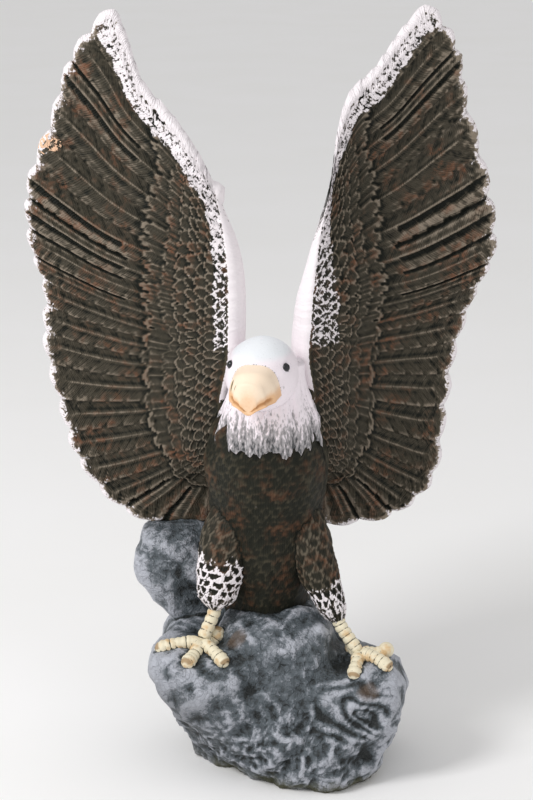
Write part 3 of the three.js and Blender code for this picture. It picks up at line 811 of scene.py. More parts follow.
@dataclass
class Head:
    """Skull, brows, eyes and beak, in the head's own frame: +X along the beak, +Z up."""

    length: float = 104.0
    width: float = 90.0
    height: float = 92.0
    yaw: float = 12.0
    pitch: float = 5.0
    beak_length: float = 31.0
    beak_width: float = 62.0
    beak_height: float = 44.0
    eye_radius: float = 5.5
    eye_turn: float = math.radians(60)
    eye_rise: float = 0.42
    eye_depth: float = 0.94

    def place(self, points: Array) -> Array:
        """Points of the head's frame in the statue's."""
        down, turn = math.radians(self.pitch), math.radians(-90 - self.yaw)
        x, y, z = np.moveaxis(points, -1, 0)
        x, z = x * math.cos(down) + z * math.sin(down), z * math.cos(down) - x * math.sin(down)
        x, y = x * math.cos(turn) - y * math.sin(turn), x * math.sin(turn) + y * math.cos(turn)
        return stack(x, y, z) + BIRD_BASE + np.array([-5.0, -56.0, 357.0])

    def skull(self) -> Form:
        """A ball with a brow over each eye and a socket round it."""
        grid = Rings(56, 86)
        d = grid.directions
        heading = np.arctan2(np.abs(d[..., 1]), d[..., 0])
        brow = bump(d[..., 2], self.eye_rise + 0.24, 0.14) * bump(heading, self.eye_turn, 0.5)
        socket = bump(d[..., 2], self.eye_rise, 0.14) * bump(heading, self.eye_turn, 0.35)
        lid = np.hypot((heading - self.eye_turn) * 42, (d[..., 2] - self.eye_rise) * 46)
        carved = np.array([1.0, 1.0, 0.0]) * (0.05 * (brow - socket) + 0.022 * bump(lid, 7.5, 2.0))[..., None]
        size = np.array([self.length, self.width, self.height]) / 2
        soft = 0.6 * cloud(d * 46, 17, 16)
        points = d * size * (1 + carved) + d * soft[..., None]
        # Painted shade: the crown above the brows takes a cooler grey paint.
        crown_shade = smooth(d[..., 2], 0.45, 0.9)
        # Painted shade: the underside of the head gets a little less white, so it shows greyer.
        throat = smooth(d[..., 2], -0.3, -0.75)
        return grid.form("skull", self.place(points), Look.HEAD, white=1 - 0.1 * throat, tone=crown_shade)

    def upper_beak(self) -> Form:
        """Arched over the mouth's edge, widest there, tapering and turning down to the hook."""
        grid = Rings(42, 56)
        v, u = grid.v, grid.u
        root = 0.3 * self.length
        length = 0.5 * self.length + self.beak_length - root
        wide: Stations = ((0, 1), (0.3, 0.94), (0.6, 0.66), (0.85, 0.36), (1, 0.16))
        ridge: Stations = ((0, 0.62), (0.4, 0.58), (0.7, 0.38), (0.9, 0.02), (1, -0.26))
        edge: Stations = ((0, -0.28), (0.6, -0.28), (0.85, -0.34), (1, -0.42))
        turn = 2 * math.pi * u
        across, up = np.cos(turn), np.sin(turn)
        side = np.sign(across) * np.abs(across) ** 0.75
        high, low = ease(ridge, v), ease(edge, v)
        rise = np.where(up > 0, lerp(low, high, np.maximum(up, 0) ** 0.85), low + 0.1 * up)
        seam = bump(up, 0.12, 0.07) * smooth(v, 0.3, 0.5)
        lip = 1.5 * bump(up, -0.1, 0.14) * smooth(v, 0.3, 0.5) - 2.0 * seam
        slits = bump(v, 0.4, 0.035) + bump(v, 0.56, 0.03)
        nostril = slits * bump(up, 0.45, 0.22) * (across < -0.5)
        points = stack(
            root + length * np.sin(1.65 * v),
            (self.beak_width / 2 * ease(wide, v) + lip - 2.2 * nostril) * side,
            self.beak_height * rise,
        )
        ends = np.array([0.0, 1.0])
        poles = stack(root + length * np.sin(1.65 * ends), 0, self.beak_height * ease(edge, ends))
        # Painted shade: tone is high on the beak's top and falls below it and along the seam, so the
        # underside and the seam are painted deeper orange, partly the beak's own colour and partly painted
        # shade; the nostril slits are painted dark the same way.
        return grid.form(
            "upper_beak", self.place(points), Look.BEAK, self.place(poles), stain=nostril,
            tone=smooth(up, 0.05, 0.55) * (1 - 0.7 * smooth(v, 0.6, 1.0)) - seam,
        )

    def lower_beak(self) -> Form:
        """Shorter and narrower than the upper beak, and shut against it."""
        tip = 0.5 * self.length
        stations = np.array([
            [0.3 * self.length, 0, -0.2 * self.beak_height],
            [tip + 0.3 * self.beak_length, 0, -0.24 * self.beak_height],
            [tip + 0.66 * self.beak_length, 0, -0.32 * self.beak_height],
        ])
        grid = Rings(26, 36)
        # Painted shade: the lower beak takes a low tone and is painted deeper orange, partly its own colour
        # and partly painted shade.
        return bar_form(
            "lower_beak", Curve(self.place(stations)),
            lambda v, u: 0.34 * self.beak_width * (1 - 0.5 * v), np.array([0.0, 0.0, 1.0]),
            grid, Look.BEAK, 0.3, tone=-0.6 * np.ones_like(grid.v),
        )

    def eyes(self) -> list[Form]:
        """The two dark beads of the eyes."""
        grid = Rings(14, 20)
        level = self.eye_depth * math.sqrt(1 - self.eye_rise**2)
        ahead = self.length / 2 * level * math.cos(self.eye_turn)
        out = self.width / 2 * level * math.sin(self.eye_turn)
        up = self.height / 2 * self.eye_depth * self.eye_rise
        return [
            grid.form(
                f"eye_{name}",
                self.place(self.eye_radius * grid.directions + [ahead, side * out, up]),
                Look.EYE,
            )
            for name, side in (("right", -1), ("left", 1))
        ]

    def forms(self) -> list[Form]:
        """Every form of the head."""
        return [self.skull(), self.upper_beak(), self.lower_beak(), *self.eyes()]


@dataclass
class Leg:
    """A feathered thigh, a ringed shank and four toes that lie on the rock.

    Args:
        name: Which leg.
        foot: Plan position of the foot.
        hip: Top of the thigh, over the ledge.
        knee: Middle of the thigh, over the ledge.
        hock: Bottom of the thigh, over the ledge.
        girth: Radius of the thigh along it.
        toes: Heading in degrees from straight ahead towards the eagle's left, and length.
        rock: The rock under it.
        pale: Share of the thigh at which its white paint begins.
        knob: Number of the toe that ends in a ball, if any.
    """

    name: str
    foot: tuple[float, float]
    hip: tuple[float, float, float]
    knee: tuple[float, float, float]
    hock: tuple[float, float, float]
    girth: Stations
    toes: tuple[tuple[float, float], ...]
    rock: Rock
    pale: float
    knob: int = -1
    knob_radius: float = 10.0
    shank_radius: float = 8.0
    toe_radius: float = 8.0

    def ankle(self) -> Array:
        """Middle of the foot, a toe's radius over the rock."""
        x, y = self.foot
        return np.array([x, y, float(self.rock.top(x, y)) + self.toe_radius])

    def thigh(self) -> Form:
        """A tapering bar with small feathers above and a raised net of rims below."""
        curve = Curve(np.array([self.hip, self.knee, self.hock]) + BIRD_BASE)
        grid = Rings(64, 70)
        v, u = grid.v, grid.u
        turn = 2 * math.pi * u
        drum = stack(26 * np.cos(turn), 26 * np.sin(turn), v * curve.length())
        net = Scales(
            v * curve.length() / 13 + 0.3 * cloud(drum, 20, 18), u * 12 + 0.3 * cloud(drum, 17, 19), 0.6
        )
        oval = np.hypot((net.a - 0.5) / 0.44, (net.tip - 0.52) / 0.42)
        pit = smooth(oval, 0.6, 1.05)
        starts = self.pale + 0.06 * cloud(drum, 12, 21)
        whiter = smooth(v - starts, 0.0, 0.12)
        loose = smooth(v, 0.72, 0.9)
        strand = crag(drum * [1.0, 1.0, 0.22], 8, 20, 2)
        ragged = smooth(v, 0.7, 0.96) * 2.6 * strand
        pits = lerp(1.2, 2.2, whiter) * (pit - 0.6) * (1 - 0.7 * loose)
        relief = (pits + net.relief(0.9, 0.4)) * smooth(v, 0.05, 0.3) + ragged
        white = whiter * lerp(lerp(0.16, 0.78, pit), 0.55 + 0.3 * strand, loose)
        return bar_form(
            f"thigh_{self.name}", curve, lambda v, u: ease(self.girth, v) + relief,
            np.array([0.0, 1.0, 0.0]), grid, Look.PLUMAGE, white=white, tone=0.5 * net.tone,
            barb=26 * turn, across=drum[..., 2], furrow=np.full_like(v, 0.4),
        )

    def shank(self) -> Form:
        """A ringed bar from inside the thigh down to the foot."""
        hock, knee = np.array(self.hock) + BIRD_BASE, np.array(self.knee) + BIRD_BASE
        curve = Curve(np.stack([lerp(hock, knee, 0.35), hock, self.ankle()]))
        grid = Rings(60, 18)
        rings = 1.6 * np.abs(np.sin(math.pi * grid.v * curve.length() / 7.5)) ** 0.6
        lumpy = 1.2 * cloud(stack(20 * grid.u, 0, grid.v * curve.length()), 9, 22)
        return bar_form(
            f"shank_{self.name}", curve, lambda v, u: self.shank_radius + rings - 1.0 + lumpy,
            np.array([0.0, 1.0, 0.0]), grid, Look.FOOT, tone=rings / 1.6,
        )

    def toe(self, number: int, heading: float, length: float) -> list[Form]:
        """A knuckled bar that follows the rock, with a ball at its end where the leg has one."""
        x, y = self.foot
        ankle = self.ankle()
        share = np.array([0.5, 1.0])
        px = x + share * length * math.sin(math.radians(heading))
        py = y - share * length * math.cos(math.radians(heading))
        pz = np.maximum(self.rock.top(px, py) + 0.55 * self.toe_radius, ankle[2] - 0.55 * share * length)
        curve = Curve(np.vstack([ankle, stack(px, py, pz)]))
        grid = Rings(40, 16)
        rings = np.abs(np.sin(math.pi * grid.v * length / 6.5)) ** 0.6
        knuckles = 0.1 * np.sin(10 * grid.v) + 0.17 * rings * smooth(grid.v, 0.15, 0.3)
        forms = [
            bar_form(
                f"toe_{self.name}_{number}", curve, lambda v, u: self.toe_radius * (0.93 + knuckles),
                np.array([0.0, 0.0, 1.0]), grid, Look.FOOT, 0.2, tone=rings,
                stain=bump(grid.v, 0.93, 0.07) * (np.sin(2 * math.pi * grid.u) > 0.2),
            )
        ]
        if number == self.knob:
            ball = Rings(18, 22)
            px, py = (float(at + 0.9 * length * way) for at, way in zip(self.foot, self.way(heading)))
            pz = max(float(self.rock.top(px, py)) + 0.55 * self.toe_radius, ankle[2] - 0.495 * length)
            middle = np.array([px, py, pz + 0.5 * self.knob_radius])
            points = middle + self.knob_radius * ball.directions
            forms.append(ball.form("toe_knob", points, Look.FOOT, tone=1.0))
        return forms

    @staticmethod
    def way(heading: float) -> tuple[float, float]:
        """Direction over the plan of a heading in degrees."""
        return math.sin(math.radians(heading)), -math.cos(math.radians(heading))

    def forms(self) -> list[Form]:
        """Every form of the leg."""
        toes = [form for number, toe in enumerate(self.toes) for form in self.toe(number, *toe)]
        return [self.thigh(), self.shank(), *toes]


# The wings

# Flight feathers of a wing, and how many of them belong to the hand
FLIGHTS = 19
HAND_FLIGHTS = 8
# Length in millimetres of the lobes that a vane splits into, and how far a feather's shade
# shifts them along it. The carving and the paint both use them.
LOBE_LENGTH = 23.0
LOBE_SHIFT = 3.65


@dataclass
class Wing:
    """A raised wing: a patch between its leading edge, its tips and the body.

    Share s runs from the tip feather to the innermost one, share t from the leading edge to the
    feather tips. A point of the patch lies on the line from the arm to the trailing edge, bent
    by the hand near the tip feather, hung by the sag of the shafts and pushed back by the
    camber.

    Args:
        name: Which wing.
        side: -1 for the eagle's right, 1 for its left.
        sag: How far the shafts hang, as a share of their length.
        band: Width of the pale leading edge at the wrist and at the armpit.
        frost: Width of the white on the feather tips.
        arm: Leading edge from the wrist down to the armpit, as reach, depth and height.
        hand: Leading edge from the wrist up to the tip.
        trail: Trailing edge from the tip round to the body.
        chip: Place in the statue's frame where the paint has chipped off, by the right wing's edge.
        chip_radius: How far the chip reaches from there.
    """

    name: str
    side: int
    sag: float
    band: tuple[float, float]
    frost: float
    arm: tuple[tuple[float, float, float], ...]
    hand: tuple[tuple[float, float, float], ...]
    trail: tuple[tuple[float, float, float], ...]
    shoulder_thickness: float = 46.0
    wrist_thickness: float = 36.0
    edge_thickness: float = 13.0
    camber: float = 15.0
    feather_step: float = 5.0
    covert_step: float = 4.0
    scallop: float = 7.0
    chip: tuple[float, float, float] = (-272.0, 98.0, 785.0)
    chip_radius: float = 14.0
    rows: int = 99
    skip: int = 7

    def __post_init__(self) -> None:
        """Sets out the three edge curves."""
        mirror = np.array([self.side, 1.0, 1.0])
        edges = (self.arm, self.hand, self.trail)
        lines = [Curve(np.array(edge) * mirror + BIRD_BASE) for edge in edges]
        self.arm_line, self.hand_line, self.trail_line = lines

    def middle(self, s: Array, t: Array) -> Array:
        """Middle of the wing's thickness."""
        start, end = self.arm_line.at(s), self.trail_line.at(s)
        p = lerp(start, end, t[..., None])
        wrist, tip = self.arm_line.at(0.0), self.trail_line.at(0.0)
        bend = self.hand_line.at(t) - lerp(wrist, tip, t[..., None])
        p = p + bend * ((1 - s) ** 3)[..., None]
        hang = smooth(s, 0, 0.35) * (1 - smooth(s, 0.8, 1))
        p[..., 2] -= self.sag * np.linalg.norm(end - start, axis=-1) * t * (1 - t) * hang
        p[..., 1] += self.camber * 4 * t * (1 - t) * np.minimum(1, 4 * s)
        return p

    def thickness(self, s: Array, t: Array) -> Array:
        """Thickness of the wing, deepest along the arm."""
        nose = lerp(self.wrist_thickness, self.shoulder_thickness, smooth(s, 0, 0.6))
        arm = lerp(nose, self.edge_thickness, smooth(t, 0.02, 0.5))
        hand = lerp(0.6 * self.wrist_thickness, self.edge_thickness, t)
        return lerp(hand, arm, smooth(s, -0.02, 0.12))

    def own(self, s: Array) -> Array:
        """Share across a flight feather."""
        return np.mod(s * FLIGHTS * 0.99999, 1.0)

    def flights(self, s: Array, t: Array, chord: Array, width: Array) -> tuple[Array, Array, Array, Array]:
        """Relief of the long feathers: a raised shaft and vanes that end in lobes over the next one.

        Args:
            s: Shares from the tip feather to the innermost one.
            t: Shares from the leading edge to the tips.
            chord: Length of the feathers in millimetres.
            width: Width of the feathers in millimetres.

        Returns:
            Heights, where each point's barb lies along the feather and how far the point lies
            from the shaft, both in millimetres, and each feather's own shade.
        """
        number, own = np.floor(s * FLIGHTS * 0.99999), self.own(s)
        from_shaft = (own - 0.4) * width
        off = np.abs(from_shaft)
        tone = 2 * scatter(number, 9.0) - 1
        barb = t * chord - 0.55 * off - 0.016 * off * off
        shaft = 3.2 * bump(from_shaft, 0, 2.2) * (1 - smooth(t, 0.86, 0.97))
        groove = -1.1 * bump(off, 5.0, 1.8)
        q = barb / LOBE_LENGTH + LOBE_SHIFT * tone
        part = np.mod(q, 1.0)
        edge = 1.02 - 0.22 * (2 * part - 1) ** 2 * lerp(0.4, 1.0, scatter(np.floor(q), number, 8.0))
        rise = 3.0 * (own - 0.5) + 1.5 * (part - 0.5) * smooth(off, 2.0, 6.0)
        relief = np.where(own < edge, rise + shaft + groove, -1.4)
        return relief, barb, from_shaft, tone

    def coverts(self, s: Array, t: Array) -> tuple[Array, Array, Array, Array, Array]:
        """Relief of the short feathers in rows over the roots of the long ones.

        The rows grow from small scales at the leading edge to long rounded feathers. Near the
        wrist two narrow ones lie over each flight feather, further in one wide one does.

        Returns:
            Heights, the cover from 0 to 1, each feather's own shade, distances from the
            feathers' shafts as shares of their width, and the raised rims from 0 to 1.
        """
        shares = [0.0, 0.055, 0.105, 0.15, 0.195, 0.25, 0.32, 0.41, 0.53]
        r = np.interp(t, shares, np.arange(len(shares)))
        hand = s < HAND_FLIGHTS / FLIGHTS
        across = np.where(r < 5.2, 1.7, np.where(hand, 2.0, np.where(r < 7.2, 1.35, 1.0))) * FLIGHTS * s
        jitter = stack(9 * s * FLIGHTS, 0, 9 * r)
        small = 1 - smooth(r, 4.5, 6.0)
        scales = Scales(
            r + 0.36 * cloud(jitter, 11, 23),
            across + 0.4 * small * cloud(jitter, 13, 24),
            lerp(0.4, 0.62, small),
        )
        cover = smooth(8.05 - scales.row, 0.0, 0.1)
        long = smooth(scales.row, 4.5, 6.5)
        relief = lerp(scales.relief(2.4, 1.5, 0.16), scales.relief(1.8, 1.2, 0.06), long)
        relief = relief + long * 1.5 * scales.shaft(0.07) + 0.8 * scales.tone
        rim = np.maximum(bump(scales.tip, 0.08, 0.14), 0.8 * bump(np.abs(2 * scales.a - 1), 0.92, 0.16))
        return relief * smooth(t, 0, 0.05), cover, scales.tone, scales.a - 0.5, rim

    def grid(self) -> tuple[Array, Array]:
        """Shares s and t of the carved sheet, close together at each feather's edges."""
        offsets = np.array([0.02, 0.14, 0.26, 0.34, 0.4, 0.46, 0.56, 0.68, 0.77, 0.86, 0.95])
        s = ((np.arange(FLIGHTS)[:, None] + offsets) / FLIGHTS).ravel()
        s[0], s[-1] = 0.0, 1.0
        t = np.interp(np.linspace(0, 1, self.rows), [0, 0.5, 1], [0, 0.33, 1])
        return np.broadcast_to(s[:, None], (len(s), self.rows)), np.broadcast_to(t, (len(s), self.rows))

    def swayed(self, s: Array, t: Array) -> Array:
        """Shares s moved a little to and fro, so that no two feathers lie alike."""
        free = smooth(s, 0, 0.1) * (1 - smooth(s, 0.9, 1)) * (1 - 0.6 * smooth(t, 0.8, 1))
        where = stack(s * 9, t * 2.4, self.side)
        return s + 0.009 * free * cloud(where, 1.0, 25)

    def face(self, s: Array, t: Array, side: float, carve: Array) -> Array:
        """Points of one face of the wing, front 1 or back -1, with the rounded tips swung out."""
        swell = 1 - (2 * self.own(s) - 1) ** 2
        swayed = self.swayed(s, t)
        p = self.middle(swayed, t)
        outward = unit(p - self.middle(swayed, np.maximum(t - 0.05, 0)))
        p = p + outward * (smooth(t, 0.75, 1) * self.scallop * (swell - 0.6))[..., None]
        p[..., 1] -= side * (self.thickness(s, t) / 2 + carve)
        return p

    def form(self) -> Form:
        """The wing as a carved front sheet and a plainer back one."""
        s, t = self.grid()
        own = self.own(s)
        swell = 1 - (2 * own - 1) ** 2
        chord = np.linalg.norm(self.trail_line.at(s[:, 0]) - self.arm_line.at(s[:, 0]), axis=-1)[:, None]
        flat = self.middle(s, t)
        width = np.linalg.norm(np.gradient(flat, axis=0), axis=-1)
        width = width / np.maximum(FLIGHTS * np.gradient(s, axis=0), 1e-6)
        lean = (self.feather_step * (0.5 - own) + 1.6 * swell) * smooth(t, 0.2, 0.6)
        long, barb, off, tone = self.flights(s, t, chord, width)
        short, cover, covert_tone, covert_off, rim = self.coverts(s, t)
        layer = self.covert_step * lerp(1.6, 1.0, smooth(t, 0.2, 0.34))
        front = lerp(long * smooth(t, 0.3, 0.42), layer + short, cover)
        edge = np.minimum(t * chord, np.linalg.norm(flat - flat[:1], axis=-1))
        band = lerp(*self.band, smooth(s, 0.05, 0.45)) + 6 * cloud(flat, 13, 26)
        pale = (1 - smooth(edge, band - 3, band + 3)) * (1 - smooth(s, 0.5, 0.56))
        fray = chord * (1 - t) + 7 * crag(stack(barb, 0.5 * off, 9 * s), 9, 27, 2) + 3 * swell
        tips = (1 - smooth(fray, 2, self.frost)) * smooth(t, 0.7, 0.9)
        strands = 0.9 * crag(stack(barb, 0.3 * off, 40 * s), 7, 28, 2) * smooth(t, 0.7, 0.95)
        ruffle = 0.9 * crag(flat, 15, 29, 3) * pale + 0.35 * cloud(flat, 6, 30)
        front = front + strands + ruffle
        back = lean + 1.8 * bump(own, 0.42, 0.1) * smooth(t, 0.3, 0.45)
        back = back + layer * (1 - smooth(t + 0.03 * swell, 0.4, 0.7))
        rear = self.face(s, t, -1, back)[:, :: self.skip]
        damage = bump(np.linalg.norm(flat - np.array(self.chip), axis=-1), 0, self.chip_radius)
        narrow = np.where(s < HAND_FLIGHTS / FLIGHTS, 0.5, 1.0) * width
        thinner = lerp(0.76, 1, smooth(t, 0, 0.05))
        chalked = pale * lerp(0.74, lerp(0.5, 0.84, rim), smooth(s, 0.12, 0.3)) * thinner
        furrow = lerp(1.0, 0.6, cover) * smooth(t, 0, 0.05)
        return sheet_form(
            f"wing_{self.name}", self.face(s, t, 1, front), rear, self.skip, Look.PLUMAGE, 0.36,
            white=np.maximum(chalked, 0.5 * tips), tone=lerp(tone, covert_tone, cover), barb=barb,
            across=lerp(off, covert_off * narrow, cover), furrow=furrow, stain=damage,
        )


# Fusing and measuring the casting


def fuse(forms: Sequence[Form], name: str) -> bpy.types.Object:
    """Joins closed forms into one surface.

    Args:
        forms: The forms, each closed.
        name: Name of the piece.

    Returns:
        One object whose mesh is the union of the forms, with their paint kept.
    """
    collection = bpy.data.collections.new("forms")
    bpy.context.scene.collection.children.link(collection)
    first, *others = [bpy.data.objects.new(form.name, form.mesh()) for form in forms]
    bpy.context.scene.collection.objects.link(first)
    for other in others:
        collection.objects.link(other)
    union = first.modifiers.new("union", "BOOLEAN")
    union.operation, union.solver, union.operand_type = "UNION", "MANIFOLD", "COLLECTION"
    union.collection = collection
    graph = bpy.context.evaluated_depsgraph_get()
    mesh = bpy.data.meshes.new_from_object(first.evaluated_get(graph), depsgraph=graph)
    mesh.name = name
    statue = bpy.data.objects.new(name, mesh)
    bpy.context.scene.collection.objects.link(statue)
    for used in (first, *others):
        bpy.data.meshes.remove(used.data)
    bpy.data.collections.remove(collection)
    return statue


@dataclass
class Casting:
    """The fused surface as arrays, for measuring and painting it.

    Args:
        mesh: The fused mesh, in metres.
    """

    mesh: bpy.types.Mesh

    def __post_init__(self) -> None:
        """Reads corners, edges and normals."""
        self.count = len(self.mesh.vertices)
        self.points = self.read(self.mesh.vertices, "co", 3) / MM
        self.normals = self.read(self.mesh.vertices, "normal", 3)
        edges = np.empty(2 * len(self.mesh.edges), np.int32)
        self.mesh.edges.foreach_get("vertices", edges)
        self.a, self.b = edges.reshape(-1, 2).T
        self.degree = np.bincount(np.concatenate([self.a, self.b]), minlength=self.count)

    def read(self, where: object, key: str, width: int) -> Array:
        """Values of every corner."""
        values = np.empty(self.count * width, np.float32)
        where.foreach_get(key, values)
        return values.reshape(-1, width).astype(float) if width > 1 else values.astype(float)

    def paint(self, name: str) -> Array:
        """A paint layer's values."""
        return self.read(self.mesh.attributes[name].data, "value", 1)

    def lay(self, name: str, values: Array) -> None:
        """Writes a paint layer."""
        layer = self.mesh.attributes.get(name) or self.mesh.attributes.new(name, "FLOAT", "POINT")
        layer.data.foreach_set("value", values.astype(np.float32))

    def around(self, values: Array) -> Array:
        """Sum of values over each corner's neighbours."""
        onto_a = np.bincount(self.a, values[self.b], self.count)
        return onto_a + np.bincount(self.b, values[self.a], self.count)

    def softened(self, values: Array, rounds: int) -> Array:
        """Values averaged with their neighbours' a number of times."""
        for _ in range(rounds):
            values = 0.4 * values + 0.6 * self.around(values) / np.maximum(self.degree, 1)
        return values

    def height(self, rounds: int) -> Array:
        """How far each corner stands over the surface smoothed round it, in millimetres."""
        soft = np.stack([self.softened(self.points[:, k], rounds) for k in range(3)], axis=-1)
        return np.einsum("ij,ij->i", self.points - soft, self.normals)

    def mend_seams(self) -> None:
        """Gives corners made by the joining the paint of the corners next to them."""
        own = (self.paint("own") > 0.5).astype(float)
        beside = np.maximum(self.around(own), 1e-9)
        for name in PAINTS:
            values = self.paint(name)
            mean = self.around(values * own) / beside
            self.lay(name, np.where(own > 0, values, mean))

    def hold_in(self, low: Array, high: Array) -> None:
        """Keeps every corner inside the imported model's box, given in metres."""
        held = np.clip(self.points * MM, low, high)
        self.mesh.vertices.foreach_set("co", held.astype(np.float32).ravel())
        self.mesh.update()

    def measure(self) -> None:
        """Writes how far corners stand over their near and wide surroundings."""
        self.lay("near", self.height(3))
        self.lay("wide", self.height(22))


# Paints


def linear(code: str) -> tuple[float, float, float, float]:
    """A colour given as sRGB hex, in the linear values that shaders take."""
    parts = [int(code[n : n + 2], 16) / 255 for n in (1, 3, 5)]
    red, green, blue = (p / 12.92 if p <= 0.04045 else ((p + 0.055) / 1.055) ** 2.4 for p in parts)
    return red, green, blue, 1.0


@dataclass
class Recipe:
    """A material's node tree as it is built up.

    Args:
        name: Name of the material.
    """

    name: str

    def __post_init__(self) -> None:
        """Starts the material with an empty tree."""
        self.material = bpy.data.materials.new(self.name)
        self.material.use_nodes = True
        self.tree = self.material.node_tree
        self.tree.nodes.clear()

    def add(self, kind: str, settings: dict | None = None, **inputs: object) -> bpy.types.Node:
        """Adds a node.

        Args:
            kind: The node's type.
            settings: Properties of the node itself.
            **inputs: Values or sockets for its inputs, by name with _ for a space, or in_N.

        Returns:
            The node.
        """
        node = self.tree.nodes.new(kind)
        for key, value in (settings or {}).items():
            setattr(node, key, value)
        for key, value in inputs.items():
            name = int(key[3:]) if key.startswith("in_") else key.replace("_", " ")
            socket = node.inputs[name]
            if isinstance(value, bpy.types.NodeSocket):
                self.tree.links.new(value, socket)
            elif isinstance(value, str):
                socket.default_value = linear(value)
            else:
                socket.default_value = value
        return node

    def math(self, operation: str, *values: object) -> bpy.types.NodeSocket:
        """Result of a sum on sockets and numbers."""
        inputs = {f"in_{n}": value for n, value in enumerate(values)}
        return self.add("ShaderNodeMath", {"operation": operation}, **inputs).outputs[0]

    def layer(self, name: str) -> bpy.types.NodeSocket:
        """Value of one of the casting's paint layers."""
        return self.add("ShaderNodeAttribute", {"attribute_name": name}).outputs["Fac"]

    def grain(
        self, size: float, detail: float = 3.0, stretch: tuple[float, float, float] = (1, 1, 1)
    ) -> bpy.types.NodeSocket:
        """Noise on the piece's own coordinates.

        Args:
            size: Size of its clouds in millimetres.
            detail: Finer octaves in it.
            stretch: How much tighter it lies along each axis.

        Returns:
            Values round 0.5.
        """
        where = self.add("ShaderNodeTexCoord").outputs["Object"]
        mapped = self.add("ShaderNodeMapping", {}, Vector=where, Scale=stretch).outputs[0]
        noise = self.add("ShaderNodeTexNoise", {}, Vector=mapped, Scale=1 / (size * MM), Detail=detail)
        return noise.outputs["Fac"]

    def strokes(self, size: float, length: float) -> bpy.types.NodeSocket:
        """Noise drawn out along a feather's barbs.

        Args:
            size: Width of a stroke in millimetres.
            length: Its length in millimetres.

        Returns:
            Values round 0.5.
        """
        along = self.math("DIVIDE", self.layer("barb"), size)
        across = self.math("DIVIDE", self.layer("across"), length)
        where = self.add("ShaderNodeCombineXYZ", {}, X=along, Y=across, Z=self.layer("tone")).outputs[0]
        return self.add("ShaderNodeTexNoise", {}, Vector=where, Scale=1.0, Detail=2.0).outputs["Fac"]

    def lobes(self, furrow: bpy.types.NodeSocket) -> bpy.types.NodeSocket:
        """Height of the lobes of a flight feather's vanes: each rises to its end over a crease."""
        part = self.math("MULTIPLY", self.layer("tone"), LOBE_SHIFT)
        part = self.math("FRACT", self.math("MULTIPLY_ADD", self.layer("barb"), 1 / LOBE_LENGTH, part))
        crease = self.math("MULTIPLY_ADD", self.ramp(part, 0.0, 0.11), 1.3, -1.5)
        saw = self.math("MULTIPLY_ADD", part, 0.6, crease)
        off = self.math("ABSOLUTE", self.layer("across"))
        open_vane = self.math("MULTIPLY", self.ramp(off, 2.5, 6.0), self.ramp(furrow, 0.7, 0.95))
        return self.math("MULTIPLY", saw, open_vane)

    def ramp(self, value: object, low: float, high: float) -> bpy.types.NodeSocket:
        """Share from 0 to 1 as a value goes from low to high."""
        settings = {"interpolation_type": "SMOOTHSTEP"}
        node = self.add("ShaderNodeMapRange", settings, Value=value, From_Min=low, From_Max=high)
        return node.outputs[0]

    def mix(self, share: object, first: object, second: object) -> bpy.types.NodeSocket:
        """Colour between two others."""
        node = self.add("ShaderNodeMix", {"data_type": "RGBA"}, in_0=share, in_6=first, in_7=second)
        return node.outputs[2]

    def finish(
        self, colour: object, roughness: object, height: object, depth: float, **settings: object
    ) -> None:
        """Ends the tree in a painted surface.

        Args:
            colour: Colour of the paint.
            roughness: Roughness of the paint.
            height: Fine relief, as a multiple of the depth.
            depth: Height in millimetres of a relief of 1.
            **settings: Other inputs of the shader.
        """
        normal = self.add("ShaderNodeBump", {}, Strength=1.0, Distance=depth * MM, Height=height).outputs[0]
        shader = self.add(
            "ShaderNodeBsdfPrincipled", {}, Base_Color=colour, Roughness=roughness, Normal=normal, **settings
        )
        self.add("ShaderNodeOutputMaterial", {}, Surface=shader.outputs[0])


